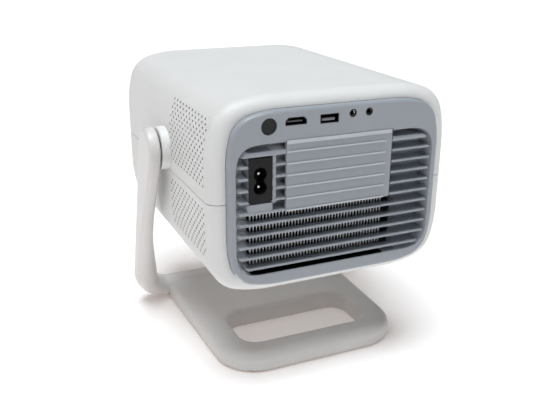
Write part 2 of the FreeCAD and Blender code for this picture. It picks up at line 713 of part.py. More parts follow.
# ---------------------------------------------------------------- rear
def recess_form(grow, y_back):
    """Tapering hollow of the louvred recess, from in front of the panel back to a depth."""
    def ring(y, lean):
        half = RECESS_HALF_W + grow - lean
        top = level(RECESS_TOP + grow - lean)
        bottom = level(RECESS_BOTTOM - grow + lean)
        mid = (top + bottom) / 2
        radius = RECESS_R + grow - lean
        return soft_outline(half, (top - bottom) / 2, 0.75 * radius, 2.2 * radius, mid, y)

    slope = RECESS_SLOPE / RECESS_DEPTH
    ahead = 1.0
    return Part.makeLoft([ring(PANEL_Y + ahead, -ahead * slope), ring(y_back, (PANEL_Y - y_back) * slope)],
                         True, True)


def fin_rel(index):
    """Height of a louvre fin's middle."""
    return FIN_TOP_REL - index * FIN_PITCH


def louvre_fin(index):
    """One fin: a drafted blade with a rounded nose, across the whole recess."""
    nose = (LEDGE_T if index == 0 else FIN_T) / 2
    root = nose + (FIN_ROOT_T - FIN_T) / 2
    z = level(fin_rel(index))
    x = -RECESS_HALF_W
    back = FLOOR_Y - FLOOR_T
    front = PANEL_Y - nose
    corners = [V(x, back, z - root), V(x, front, z - nose), V(x, front, z + nose), V(x, back, z + root)]
    edges = [Part.LineSegment(corners[0], corners[1]).toShape(),
             Part.Arc(corners[1], V(x, PANEL_Y, z), corners[2]).toShape(),
             Part.LineSegment(corners[2], corners[3]).toShape(),
             Part.LineSegment(corners[3], corners[0]).toShape()]
    return Part.Face(Part.Wire(edges)).extrude(V(2 * RECESS_HALF_W, 0, 0))


def socket_outline(kind, grow):
    """Corners (x, height) of a socket's mouth, grown outwards by an amount."""
    if kind == "usb":
        half_w = USB_W / 2 + grow
        half_h = USB_H / 2 + grow
        mid = level(USB_REL)
        return [(USB_X - half_w, mid - half_h), (USB_X + half_w, mid - half_h),
                (USB_X + half_w, mid + half_h), (USB_X - half_w, mid + half_h)]
    half_w = HDMI_W / 2 + grow
    half_h = HDMI_H / 2 + grow
    mid = level(HDMI_REL)
    shoulder = mid + half_h - HDMI_CUT
    return [(HDMI_X - half_w, mid - half_h), (HDMI_X + half_w, mid - half_h), (HDMI_X + half_w, shoulder),
            (HDMI_X + half_w - HDMI_CUT, mid + half_h), (HDMI_X - half_w + HDMI_CUT, mid + half_h),
            (HDMI_X - half_w, shoulder)]


def socket_prism(kind, grow, y0, y1):
    """Solid of a socket's mouth between two values of Y."""
    return prism([V(x, y0, z) for x, z in socket_outline(kind, grow)], V(0, y1 - y0, 0))


def inlet_block(grow, y0, y1):
    """The mains inlet's outline with its two lower corners cut off, between two values of Y."""
    half_w = INLET_W / 2 + grow
    half_h = INLET_H / 2 + grow
    mid = level(INLET_REL)
    cut = INLET_CHAMFER
    corners = [(-half_w + cut, -half_h), (half_w - cut, -half_h), (half_w, -half_h + cut), (half_w, half_h),
               (-half_w, half_h), (-half_w, -half_h + cut)]
    return prism([V(INLET_X + x, y0, mid + z) for x, z in corners], V(0, y1 - y0, 0))


def rear_panel():
    """Grey rear moulding: a shallow cup with a louvred recess and the sockets' openings."""
    back_y = PANEL_Y - PANEL_DEPTH
    cup = panel_prism(0, back_y, PANEL_Y)
    cup = cup.makeFillet(PANEL_EDGE_R, edges_in_plane(cup, "Y", PANEL_Y))
    cup = cup.cut(panel_prism(-PANEL_WALL, back_y - 1, PANEL_Y - PANEL_WALL))
    collar = recess_form(RECESS_WALL, FLOOR_Y - FLOOR_T).common(cup_bounds())
    shape = cup.fuse(collar).cut(recess_form(0, FLOOR_Y))

    vent = block(VENT_RIGHT, VENT_LEFT, FLOOR_Y - 3 * FLOOR_T, PANEL_Y - VENT_LIP, level(VENT_BOTTOM),
                 level(VENT_TOP))
    shape = shape.cut(vent)

    half = RECESS_HALF_W - FIN_END_GAP
    reach = soft_prism(half, (RECESS_TOP - RECESS_BOTTOM) / 2 - FIN_END_GAP / 2, RECESS_R - FIN_END_GAP,
                       2 * RECESS_R, level((RECESS_TOP + RECESS_BOTTOM) / 2), FLOOR_Y - FLOOR_T, PANEL_Y)
    strip_x = INLET_X - INLET_W / 2 - FIT_GAP
    strip = block(strip_x - INLET_STRIP_W, strip_x, FLOOR_Y - FLOOR_T, PANEL_Y - INLET_SET_BACK,
                  level(fin_rel(COVER_RIBS - 1)) - FIN_ROOT_T, level(fin_rel(0)))
    sill = block(strip_x, INLET_X + INLET_W / 2, FLOOR_Y - FLOOR_T, PANEL_Y - INLET_SET_BACK, level(VENT_TOP),
                 level(INLET_REL) - INLET_H / 2 - FIT_GAP)
    louvres = [louvre_fin(i) for i in range(FIN_COUNT)] + [strip, sill]
    louvres = louvres[0].multiFuse(louvres[1:]).common(reach)
    louvres = louvres.cut(block(VENT_RIGHT, VENT_LEFT, FLOOR_Y - 3 * FLOOR_T, PANEL_Y - SLAT_D,
                                level(RECESS_BOTTOM), level(VENT_TOP)))
    hidden = block(COVER_RIGHT - FIT_GAP, COVER_LEFT + FIT_GAP, PANEL_Y - COVER_T - FIT_GAP, PANEL_Y + 1,
                   level(COVER_BOTTOM) - FIT_GAP, level(COVER_TOP) + FIT_GAP)
    shape = join([shape, louvres])
    tools = [hidden, inlet_block(FIT_GAP, back_y - 1, PANEL_Y + 1)]
    tools += [socket_prism(kind, 0, back_y, PANEL_Y + 1) for kind in ("hdmi", "usb")]
    tools += [rod(V(x, back_y, level(JACK_REL)), Y_AXIS, JACK_R, PANEL_DEPTH + 1) for x in JACK_XS]
    tools.append(rod(V(WINDOW_X, back_y, level(WINDOW_REL)), Y_AXIS, WINDOW_R, PANEL_DEPTH + 1))
    return shape.cut(Part.makeCompound(tools))


def cup_bounds():
    """Everything inside the rear panel's outer outline."""
    return panel_prism(0, PANEL_Y - PANEL_DEPTH, PANEL_Y)


def rear_cover_plate():
    """Ribbed plate over the middle fins, with a bead along its top and its right side rolled back."""
    top = level(COVER_TOP)
    bottom = level(COVER_BOTTOM)
    front = PANEL_Y + COVER_PROUD
    form = block(COVER_RIGHT, COVER_LEFT, PANEL_Y - COVER_T, front, bottom, top)
    rolled = [e for e in edges_in_plane(form, "X", COVER_RIGHT) if abs(e.BoundBox.YMin - front) < 1e-4]
    form = form.makeFillet(COVER_ROLL_R, rolled)
    plate = block(COVER_RIGHT, COVER_LEFT, PANEL_Y - COVER_T, PANEL_Y, bottom, top)
    back = PANEL_Y - COVER_T / 2
    bead = block(COVER_RIGHT, COVER_LEFT, back, front, top - BEAD_H, top)
    nose = [e for e in edges_along(bead, X_AXIS) if abs(e.BoundBox.YMin - front) < 1e-4]
    bead = bead.makeFillet(BEAD_R, nose)
    heights = [level(fin_rel(i)) for i in range(COVER_RIBS)] + [bottom + RIB_T / 2]
    ribs = [block(COVER_RIGHT + RIB_SHORT, COVER_LEFT, back, front, z - RIB_T / 2, z + RIB_T / 2)
            for z in heights]
    return join([plate, bead] + ribs).common(form)


def power_inlet():
    """Two-pin mains inlet with its figure-eight well."""
    front = PANEL_Y - INLET_SET_BACK
    body = inlet_block(0, front - INLET_D, front)
    mid = level(INLET_REL)
    wells = [rod(V(INLET_X, front - INLET_WELL_D, mid + s * PIN_SPACING / 2), Y_AXIS, INLET_WELL_R,
                 INLET_WELL_D + 1) for s in (-1, 1)]
    half = 0.62 * INLET_WELL_R
    waist = block(INLET_X - half, INLET_X + half, front - INLET_WELL_D, front + 1, mid - PIN_SPACING / 2,
                  mid + PIN_SPACING / 2)
    holes = [rod(V(INLET_X, front - INLET_D - 1, mid + s * PIN_SPACING / 2), Y_AXIS, PIN_R, INLET_D)
             for s in (-1, 1)]
    return body.cut(Part.makeCompound(wells + [waist] + holes))


def inlet_pins():
    """The inlet's two round pins, domed at the tip."""
    front = PANEL_Y - INLET_SET_BACK
    pins = []
    for s in (-1, 1):
        start = V(INLET_X, front - INLET_D - INLET_TAIL, level(INLET_REL) + s * PIN_SPACING / 2)
        pin = rod(start, Y_AXIS, PIN_R, INLET_D + INLET_TAIL - PIN_SET_BACK)
        pins.append(pin.makeFillet(PIN_R * 0.7, edges_in_plane(pin, "Y", front - PIN_SET_BACK)))
    return Part.makeCompound(pins)


def ir_window():
    """Round dark window of the remote receiver."""
    front = PANEL_Y - WINDOW_SET_BACK
    disc = rod(V(WINDOW_X, front - WINDOW_T, level(WINDOW_REL)), Y_AXIS, WINDOW_R - FIT_GAP, WINDOW_T)
    return disc.makeFillet(0.5, edges_in_plane(disc, "Y", front))


def socket(kind, x, rel, width, height, tongue_t, tongue_lift):
    """Sheet-metal socket with its contact tongue, standing on the main board behind the panel's opening."""
    front = PANEL_Y - SOCKET_SET_BACK
    back = front - SOCKET_D
    shell = socket_prism(kind, -FIT_GAP, back, front)
    shell = shell.cut(socket_prism(kind, -FIT_GAP - SOCKET_T, back + SOCKET_END_T, front + 1))
    z = level(rel) + tongue_lift
    tongue = block(x - 0.36 * width, x + 0.36 * width, back, front - TONGUE_BACK, z - tongue_t / 2,
                   z + tongue_t / 2)
    low = level(rel) - height / 2 + FIT_GAP
    stand = block(x - 0.3 * width, x + 0.3 * width, back, PANEL_Y - PANEL_WALL - SOCKET_END_T,
                  min(level(BOARD_TOP), low), low + SOCKET_T)
    return join([shell, tongue, stand])


def audio_jacks():
    """Two round sockets with a plain bore."""
    jacks = []
    for x in JACK_XS:
        start = V(x, PANEL_Y - JACK_SET_BACK - JACK_D, level(JACK_REL))
        jack = tube(start, Y_AXIS, JACK_R - FIT_GAP, JACK_BORE_R, JACK_D)
        cap = rod(start, Y_AXIS, JACK_R - FIT_GAP, JACK_END_T)
        front = PANEL_Y - PANEL_WALL - SOCKET_END_T
        housing = block(x - JACK_R, x + JACK_R, start.y, front, level(BOARD_TOP), start.z)
        housing = housing.cut(rod(start, Y_AXIS, JACK_BORE_R, JACK_D))
        jacks.append(join([jack, cap, housing]))
    return Part.makeCompound(jacks)


# ---------------------------------------------------------------- front
def front_panel():
    """Grey front moulding with the lens opening and the tray's slot."""
    face = PANEL_FACE_Y
    plate = front_prism(0, face, face + FRONT_T)
    back = face + FRONT_T
    flange = front_prism(FRONT_FLANGE, FRONT_Y + CASE_WALL + FIT_GAP, back + FRONT_RIM_H)
    plate = plate.fuse(flange)
    hollow = front_prism(-FRONT_RIM_T, back, back + 2 * FRONT_RIM_H)
    lens = rod(V(0, face - 1, level(LENS_REL)), Y_AXIS, LENS_RING_R, 2 + FRONT_T + FRONT_RIM_H)
    slot = block(-BEZEL_HALF_W - SLOT_GAP, BEZEL_HALF_W + SLOT_GAP, face - 1, back + 2 * FRONT_RIM_H,
                 level(BEZEL_BOTTOM) - SLOT_GAP, level(BEZEL_TOP) + SLOT_GAP)
    return plate.cut(Part.makeCompound([hollow, lens, slot]))


def lens_ring():
    """Trim ring round the lens, funnelling inwards."""
    z = level(LENS_REL)
    y0 = PANEL_FACE_Y - RING_PROUD
    rim = LENS_RING_R - FIT_GAP
    step = y0 + FRONT_T + RING_LIP
    profile = [(rim, y0 + RING_EDGE), (rim - RING_EDGE, y0), (LENS_RING_BORE + RING_FLARE, y0),
               (LENS_RING_BORE, y0 + LENS_RING_D), (LENS_RING_BORE + BARREL_WALL, y0 + LENS_RING_D),
               (LENS_RING_BORE + 2 * BARREL_WALL, step), (rim, step)]
    return turned(profile, z)


def turned(profile, z):
    """Solid turned about the lens axis from (radius, y) corners."""
    points = [V(r, y, z) for r, y in profile]
    return Part.Face(Part.makePolygon(points + [points[0]])).revolve(V(0, 0, z), Y_AXIS, 360)


def lens_barrel():
    """Sliding barrel that carries the glass."""
    y0 = BARREL_Y
    y1 = y0 + BARREL_L
    inner = BARREL_R - BARREL_WALL
    lip = inner - BARREL_LIP
    bore = GLASS_R + PLAY / 3
    seat = y0 + GLASS_IN
    ledge = seat + BARREL_LIP - GLASS_LEDGE / 2
    profile = [(BARREL_R - RING_EDGE, y0), (BARREL_R, y0 + RING_EDGE), (BARREL_R, y1), (lip, y1),
               (lip, y1 - BARREL_LIP), (inner, y1 - 2 * BARREL_LIP), (inner, ledge),
               (GLASS_R - GLASS_LEDGE, ledge), (GLASS_R - GLASS_LEDGE, seat), (bore, seat),
               (bore, seat - GLASS_EDGE_T - PLAY), (inner, y0)]
    return turned(profile, level(LENS_REL))


def lens_glass():
    """Front element: a thick disc with a domed face."""
    z = level(LENS_REL)
    seat = BARREL_Y + GLASS_IN
    rim = seat - GLASS_EDGE_T
    crown = rim - GLASS_SAG
    dome_r = (GLASS_R ** 2 + GLASS_SAG ** 2) / (2 * GLASS_SAG)
    slant = dome_r * math.sin(math.asin(GLASS_R / dome_r) / 2)
    drop = dome_r - math.sqrt(dome_r ** 2 - slant ** 2)
    edges = [Part.LineSegment(V(0, seat, z), V(GLASS_R, seat, z)).toShape(),
             Part.LineSegment(V(GLASS_R, seat, z), V(GLASS_R, rim, z)).toShape(),
             Part.Arc(V(GLASS_R, rim, z), V(slant, crown + drop, z), V(0, crown, z)).toShape(),
             Part.LineSegment(V(0, crown, z), V(0, seat, z)).toShape()]
    return Part.Face(Part.Wire(edges)).revolve(V(0, 0, z), Y_AXIS, 360)


def lens_mount():
    """Fixed tube on the light engine in which the barrel slides."""
    start = GEAR_Y + GEAR_FACE + PLAY
    z = level(LENS_REL)
    sleeve = tube(V(0, start, z), Y_AXIS, BARREL_R + MOUNT_WALL, BARREL_R + PLAY, ENGINE_FRONT_Y - start)
    flange_r = GEAR_CENTRES - FOCUS_MOTOR_R - PLAY
    flange = tube(V(0, ENGINE_FRONT_Y - MOUNT_T, z), Y_AXIS, flange_r, BARREL_R + PLAY, MOUNT_T)
    return sleeve.fuse(flange)


def gear(teeth, bore, y, centre_x, centre_z, turned_by):
    """Spur gear about an axis along Y, its flanks straight and its teeth eased for backlash."""
    pitch_r = GEAR_MODULE * teeth / 2
    tip_r = pitch_r + GEAR_ADDENDUM * GEAR_MODULE
    root_r = pitch_r - 1.1 * GEAR_MODULE
    half = (math.pi * GEAR_MODULE / 2 - GEAR_BACKLASH) / 2
    slope = math.tan(math.radians(20))
    points = []
    for i in range(teeth):
        middle = turned_by + 2 * math.pi * i / teeth
        widths = ((root_r, half + (pitch_r - root_r) * slope), (tip_r, half - (tip_r - pitch_r) * slope))
        for radius, width in widths:
            points.append((radius, middle - width / radius))
        for radius, width in reversed(widths):
            points.append((radius, middle + width / radius))
    corners = [V(centre_x + r * math.cos(a), y, centre_z + r * math.sin(a)) for r, a in points]
    wheel = prism(corners, V(0, GEAR_FACE, 0))
    return wheel.cut(rod(V(centre_x, y - 1, centre_z), Y_AXIS, bore, GEAR_FACE + 2))


def pinion_centre():
    """Where the focus motor's shaft stands, beside the focus gear."""
    angle = math.radians(PINION_ANGLE)
    return GEAR_CENTRES * math.cos(angle), level(LENS_REL) + GEAR_CENTRES * math.sin(angle)


def focus_gear():
    """Ring gear that turns round the barrel."""
    return gear(GEAR_TEETH, BARREL_R + PLAY, GEAR_Y, 0, level(LENS_REL), 0)


def focus_pinion():
    """Small gear on the focus motor's shaft, turned so that a gap meets the ring gear's tooth."""
    x, z = pinion_centre()
    angle = math.radians(PINION_ANGLE)
    mesh = angle * GEAR_TEETH / (2 * math.pi)
    facing = angle + math.pi - (mesh - round(mesh) + 0.5) * 2 * math.pi / PINION_TEETH
    return gear(PINION_TEETH, FOCUS_SHAFT_R, GEAR_Y, x, z, facing)


def focus_motor():
    """Round motor behind the pinion, screwed to the light engine."""
    x, z = pinion_centre()
    y0 = GEAR_Y + GEAR_FACE + SHAFT_BARE
    body = rod(V(x, y0, z), Y_AXIS, FOCUS_MOTOR_R, ENGINE_FRONT_Y - y0)
    return body.cut(rod(V(x, y0 - 1, z), Y_AXIS, FOCUS_SHAFT_R + SHAFT_FIT, FOCUS_SHAFT_IN + 2))


def focus_shaft():
    """Shaft that carries the pinion, turning in the motor."""
    x, z = pinion_centre()
    length = SHAFT_TIP + GEAR_FACE + SHAFT_BARE + FOCUS_SHAFT_IN
    return rod(V(x, GEAR_Y - SHAFT_TIP, z), Y_AXIS, FOCUS_SHAFT_R, length)


# ---------------------------------------------------------------- light engine
def light_engine():
    """Closed light box, open at the front for the lens and at the back for the lamp."""
    y0 = ENGINE_FRONT_Y
    y1 = ENGINE_REAR_Y
    z0 = level(ENGINE_BOTTOM)
    z1 = level(ENGINE_TOP)
    half = ENGINE_HALF_W
    wall = ENGINE_WALL
    taper = half / 3
    throat = LCD_Y - ENGINE_THROAT
    corners = [V(-half, y1, z0), V(half, y1, z0), V(half, throat, z0), V(half - taper, y0, z0),
               V(taper - half, y0, z0), V(-half, throat, z0)]
    outer = prism(corners, V(0, 0, z1 - z0))
    inset = [V(-half + wall, y1 - wall, z0), V(half - wall, y1 - wall, z0), V(half - wall, throat, z0),
             V(half - taper - wall, y0 + wall, z0), V(taper - half + wall, y0 + wall, z0),
             V(-half + wall, throat, z0)]
    inner = prism(inset, V(0, 0, z1 - z0 - 2 * wall)).translated(V(0, 0, wall))
    lens = rod(V(0, y0 - 1, level(LENS_REL)), Y_AXIS, BARREL_R + PLAY, wall + 2)
    lamp = block(-LED_BLOCK / 3, LED_BLOCK / 3, y1 - wall - 1, y1 + 1, level(LENS_REL) - LED_BLOCK / 3,
                 level(LENS_REL) + LED_BLOCK / 3)
    return outer.cut(Part.makeCompound([inner, lens, lamp]))


def optic_plate(y, thickness, border):
    """Upright plate inside the light box, centred on the lens axis."""
    z = level(LENS_REL)
    return block(-LCD_W / 2 - border, LCD_W / 2 + border, y, y + thickness, z - LCD_H / 2 - border,
                 z + LCD_H / 2 + border)


def lcd_panel():
    """Picture panel in its frame."""
    frame = optic_plate(LCD_Y, LCD_T, LCD_BORDER)
    return frame.cut(optic_plate(LCD_Y - LCD_T, 2 * LCD_T - LCD_GLASS_T, 0))


def fresnel_lenses():
    """Two condenser sheets, one each side of the picture panel."""
    return Part.makeCompound([optic_plate(LCD_Y + side * FRESNEL_SPREAD, FRESNEL_T, FRESNEL_BORDER)
                              for side in (-1, 1)])


def led_module():
    """Copper block with the light-emitting chip."""
    z = level(LENS_REL)
    half = LED_BLOCK / 2
    base = block(-half, half, ENGINE_REAR_Y, ENGINE_REAR_Y + LED_T, z - half, z + half)
    chip = block(-half / 3, half / 3, ENGINE_REAR_Y - LED_CHIP_T, ENGINE_REAR_Y, z - half / 3, z + half / 3)
    return base.fuse(chip)


def heat_pipes():
    """Two bent pipes from the lamp down to the heat sink."""
    pipes = []
    top = level(LENS_REL) + LED_BLOCK / 2
    run_z = level(SINK_TOP) + PIPE_R
    y = ENGINE_REAR_Y + LED_T + PIPE_R
    for x in (-PIPE_X, PIPE_X):
        knee = V(x, y, run_z + PIPE_BEND)
        disc = Part.Face(Part.Wire(Part.Circle(knee, Z_AXIS, PIPE_R).toShape()))
        elbow = disc.revolve(V(x, y + PIPE_BEND, run_z + PIPE_BEND), X_AXIS, 90)
        drop = rod(knee, Z_AXIS, PIPE_R, top - knee.z)
        run = rod(V(x, y + PIPE_BEND, run_z), Y_AXIS, PIPE_R, FLOOR_Y - FLOOR_T - PIPE_R - y - PIPE_BEND)
        pipes.append(join([drop, elbow, run]))
    return Part.makeCompound(pipes)


def heat_sink():
    """Comb of thin upright fins hanging from a base plate, seen through the louvres."""
    top = level(SINK_TOP)
    under = top - SINK_BASE_T
    base = block(SINK_RIGHT, SINK_LEFT, SINK_FRONT_Y, SINK_REAR_Y, under, top)
    count = int((SINK_W - SINK_FIN_T) / SINK_PITCH) + 1
    starts = [SINK_LEFT - SINK_FIN_T - i * SINK_PITCH for i in range(count)]
    fins = [block(x, x + SINK_FIN_T, SINK_FRONT_Y, SINK_REAR_Y, level(SINK_BOTTOM), under) for x in starts]
    return join([base] + fins)


def fan_frame():
    """Square fan frame with a round duct, a motor hub and three struts."""
    x = FAN_X
    z = level(FAN_REL)
    half = FAN_SIZE / 2
    y0 = FAN_FRONT_Y
    strut_y = FAN_REAR_Y - FAN_STRUT_T
    frame = soft_block(x - half, x + half, y0, FAN_REAR_Y, z - half, z + half, Y_AXIS, FAN_CORNER_R)
    frame = frame.cut(rod(V(x, y0 - 1, z), Y_AXIS, FAN_BORE, FAN_T + 2))
    corner = half - FAN_HOLE_IN
    holes = [rod(V(x + sx * corner, y0 - 1, z + sz * corner), Y_AXIS, SCREW_R, FAN_T + 2)
             for sx in (-1, 1) for sz in (-1, 1)]
    frame = frame.cut(Part.makeCompound(holes))
    hub = rod(V(x, strut_y, z), Y_AXIS, FAN_HUB_R, FAN_STRUT_T)
    post_y = y0 + 3 * FAN_END_GAP
    post = rod(V(x, post_y, z), Y_AXIS, FAN_POST_R, FAN_REAR_Y - post_y)
    struts = []
    for i in range(3):
        strut = block(0, FAN_BORE + 1, strut_y, FAN_REAR_Y, -FAN_STRUT_W / 2, FAN_STRUT_W / 2)
        strut.rotate(V(0, 0, 0), Y_AXIS, 120 * i + 30)
        strut.translate(V(x, 0, z))
        struts.append(strut)
    return join([frame, hub, post] + struts)


def fan_rotor():
    """Seven twisted blades on a cup that turns on the frame's post."""
    x = FAN_X
    z = level(FAN_REL)
    y0 = FAN_FRONT_Y + FAN_END_GAP
    y1 = FAN_REAR_Y - FAN_STRUT_T - FAN_END_GAP
    tip = FAN_BORE - FAN_TIP_GAP
    cup = rod(V(x, y0, z), Y_AXIS, FAN_HUB_R, y1 - y0)
    cup = cup.makeFillet(1.0, edges_in_plane(cup, "Y", y0))
    blades = []
    for i in range(FAN_BLADES):
        sections = []
        for radius, lean in ((FAN_HUB_R - 0.8, 42), (tip, 22)):
            rise = (y1 - y0 - FAN_END_GAP) / 2
            run = rise / math.tan(math.radians(lean + 20))
            mid_y = (y0 + y1) / 2
            corners = [V(radius, mid_y - rise, -run), V(radius, mid_y - rise, -run + FAN_BLADE_T),
                       V(radius, mid_y + rise, run + FAN_BLADE_T), V(radius, mid_y + rise, run)]
            sections.append(Part.makePolygon(corners + [corners[0]]))
        blade = Part.makeLoft(sections, True, True)
        blade.rotate(V(0, 0, 0), Y_AXIS, 360 * i / FAN_BLADES)
        blade.translate(V(x, 0, z))
        blades.append(blade)
    bounds = rod(V(x, y0, z), Y_AXIS, tip, y1 - y0)
    wheel = join([cup] + blades).common(bounds)
    return wheel.cut(rod(V(x, y0 + FAN_BLADE_T, z), Y_AXIS, FAN_POST_R + SHAFT_FIT, y1 - y0))


# ---------------------------------------------------------------- boards and sound
def main_board():
    """Circuit board with its chips, under the sockets."""
    z = level(BOARD_REL)
    top = z + BOARD_T
    rear = PANEL_Y - PANEL_WALL - BOARD_END_GAP
    board = block(-BOARD_HALF_W, BOARD_HALF_W, BOARD_FRONT_Y, rear, z, top)
    mid_y = (BOARD_FRONT_Y + rear) / 2

    def chip(x, y, width, length, height):
        return block(x - width / 2, x + width / 2, y - length / 2, y + length / 2, top, top + height)

    chips = [chip(0, mid_y, CHIP_W, CHIP_W, CHIP_T)]
    chips += [chip(side * 1.5 * CHIP_W, mid_y, MEMORY_W, 0.8 * MEMORY_W, MEMORY_T) for side in (-1, 1)]
    chips += [chip(side * 2.3 * CHIP_W, BOARD_FRONT_Y + PLUG_W, PLUG_W, PLUG_W, PLUG_H) for side in (-1, 1)]
    bounds = panel_prism(-PANEL_WALL - FIT_GAP, BOARD_FRONT_Y, rear)
    return join([board] + chips).common(bounds)


def power_supply():
    """Supply board with its transformer, capacitors and cooling plate, low in the case."""
    z = level(SUPPLY_REL)
    top = z + BOARD_T
    y0 = SUPPLY_FRONT_Y
    mid_y = y0 + SUPPLY_L / 2
    tall = DRIVE_BOTTOM - SUPPLY_REL - BOARD_T - SUPPLY_HEADROOM
    board = block(-SUPPLY_HALF_W, SUPPLY_HALF_W, y0, SUPPLY_REAR_Y, z, top)
    transformer = soft_block(-TRANSFORMER_W / 2, TRANSFORMER_W / 2, mid_y - TRANSFORMER_L / 2,
                             mid_y + TRANSFORMER_L / 2, top, top + tall, Z_AXIS, TRANSFORMER_R)
    can_x = TRANSFORMER_W / 2 + 2 * CAPACITOR_R
    cans = [rod(V(can_x, mid_y + step * CAPACITOR_R, top), Z_AXIS, CAPACITOR_R, 0.9 * tall)
            for step in (-4, -1.6)]
    cans += [rod(V(-can_x, mid_y + step * CAPACITOR_R, top), Z_AXIS, 0.7 * CAPACITOR_R, 0.8 * tall)
             for step in (3, 5)]
    plate_y = mid_y - SUPPLY_SINK_L
    plate = block(-can_x - SUPPLY_SINK_T, -can_x, plate_y, plate_y + SUPPLY_SINK_L, top, top + 0.9 * tall)
    return join([board, transformer, plate] + cans)


def speaker(side):
    """Oval speaker behind one upper perforated field."""
    z = level(SPEAKER_REL)
    face = side * SPEAKER_X
    low, high = sorted((face, side * (SPEAKER_X - SPEAKER_D)))
    half_l = SPEAKER_L / 2
    half_h = SPEAKER_H / 2
    frame = soft_block(low, high, SPEAKER_Y - half_l, SPEAKER_Y + half_l, z - half_h, z + half_h, X_AXIS,
                       0.6 * half_h)
    floor, mouth = sorted((side * (SPEAKER_X - SPEAKER_DISH), side * (SPEAKER_X + 1)))
    dish = soft_block(floor, mouth, SPEAKER_Y - half_l + SPEAKER_RIM, SPEAKER_Y + half_l - SPEAKER_RIM,
                      z - half_h + SPEAKER_RIM, z + half_h - SPEAKER_RIM, X_AXIS, 0.6 * half_h)
    tip = V(face - side * SPEAKER_DISH, SPEAKER_Y, z)
    cone = Part.makeCone(0.4 * CONE_R, CONE_R, CONE_H, tip, X_AXIS * side)
    return frame.cut(dish).fuse(cone)


# ---------------------------------------------------------------- disc drive
def drive_chassis():
    """Folded steel box round the tray, open at the front."""
    z0 = level(DRIVE_BOTTOM)
    z1 = level(DRIVE_TOP)
    sheet = DRIVE_SHEET
    half = DRIVE_HALF_W
    shape = soft_block(-half, half, DRIVE_FRONT_Y, DRIVE_REAR_Y, z0, z1, Y_AXIS, DRIVE_EDGE_R)
    shape = shape.cut(block(-half + sheet, half - sheet, DRIVE_FRONT_Y - 1, DRIVE_REAR_Y - sheet, z0 + sheet,
                            z1 - sheet))
    rails = [tray_rail(side) for side in (-1, 1)]
    return join([shape] + rails)


def tray_rail(side):
    """Ledge along one side of the drive on which the tray slides."""
    outer = side * (DRIVE_HALF_W - DRIVE_SHEET / 2)
    inner = side * (DRIVE_HALF_W - DRIVE_SHEET - RAIL_W)
    return block(min(outer, inner), max(outer, inner), DRIVE_FRONT_Y + 2, DRIVE_REAR_Y - 1,
                 level(DRIVE_BOTTOM + DRIVE_SHEET / 2), level(TRAY_BOTTOM) - PLAY)


def tray():
    """Sliding tray with its disc well, open behind the spindle for the pickup."""
    half = TRAY_HALF_W
    z0 = level(TRAY_BOTTOM)
    rim = level(TRAY_RIM)
    floor = level(TRAY_FLOOR)
    dip = floor - TRAY_DIP
    web_top = dip - TRAY_SKIN
    front_in = TRAY_FRONT_Y + TRAY_WALL
    rear_in = TRAY_REAR_Y - TRAY_WALL
    shape = soft_block(-half, half, TRAY_FRONT_Y, TRAY_REAR_Y, z0, rim, Z_AXIS, TRAY_R)
    well = rod(V(0, DISC_Y, floor), Z_AXIS, DISC_R + DISC_PLAY, TRAY_H)
    well = well.fuse(rod(V(0, DISC_Y, dip), Z_AXIS, TRAY_DIP_R, TRAY_H))
    under = block(-half + TRAY_WALL, half - TRAY_WALL, front_in, rear_in, z0 - 1, web_top)
    webs = [block(-half, half, y, y + TRAY_WEB_T, z0, web_top)
            for y in (DISC_Y - DISC_R / 2, rear_in - DISC_R / 4)]
    webs += [block(x - TRAY_WEB_T / 2, x + TRAY_WEB_T / 2, front_in, rear_in, z0, web_top)
             for x in (-TRAY_WEB_X, TRAY_WEB_X)]
    motor_ring = rod(V(0, DISC_Y, z0), Z_AXIS, SPINDLE_R + TRAY_WEB_T, dip - z0)
    window_end = TRAY_REAR_Y - TRAY_WALL - ROD_SEAT
    window = block(-SLED_W / 2 - PLAY, SCREW_X + SLED_ARM_END + PLAY, DISC_Y, window_end, z0 - 1, rim + 1)
    shape = shape.cut(well).cut(under)
    shape = join([shape, motor_ring] + webs)
    shape = shape.cut(window)
    shape = shape.cut(rod(V(0, DISC_Y, z0 - 1), Z_AXIS, SPINDLE_R + PLAY, rim - z0 + 2))
    start, _ = rod_span()
    bar = block(-SLED_W / 2 - TRAY_WEB_T, SCREW_X + SLED_ARM_END + TRAY_WEB_T, start, start + TRAY_BAR_T, z0,
                web_top)
    shape = join([shape, bar])
    bearing = rod(V(SCREW_X, window_end, level(LEAD_REL)), Y_AXIS, LEAD_R + SHAFT_FIT, ROD_SEAT + LEAD_END)
    return shape.cut(Part.makeCompound([guide_rods(), sled_motor(), spindle_ears(PLAY / 3), bearing]))


def rod_span():
    """Where the pickup's guide rods start and how long they are."""
    start = DISC_Y + SPINDLE_R + TRAY_WEB_T / 2
    return start, TRAY_REAR_Y - TRAY_WALL - start


def guide_rods():
    """Two steel rods on which the pickup slides."""
    start, length = rod_span()
    z = level(LEAD_REL)
    return Part.makeCompound([rod(V(x, start, z), Y_AXIS, ROD_R, length) for x in (-ROD_X, ROD_X)])


def lead_screw():
    """Screw beside the rods that drives the pickup."""
    start, length = rod_span()
    y0 = start + SLED_MOTOR_L - LEAD_IN
    return rod(V(SCREW_X, y0, level(LEAD_REL)), Y_AXIS, LEAD_R, start + length - y0)


def sled_motor():
    """Small motor on the end of the lead screw."""
    start, _ = rod_span()
    x = SCREW_X
    z = level(LEAD_REL)
    body = rod(V(x, start, z), Y_AXIS, SLED_MOTOR_R, SLED_MOTOR_L)
    depth = LEAD_IN + LEAD_END
    return body.cut(rod(V(x, start + SLED_MOTOR_L - depth, z), Y_AXIS, LEAD_R + SHAFT_FIT, depth + 1))


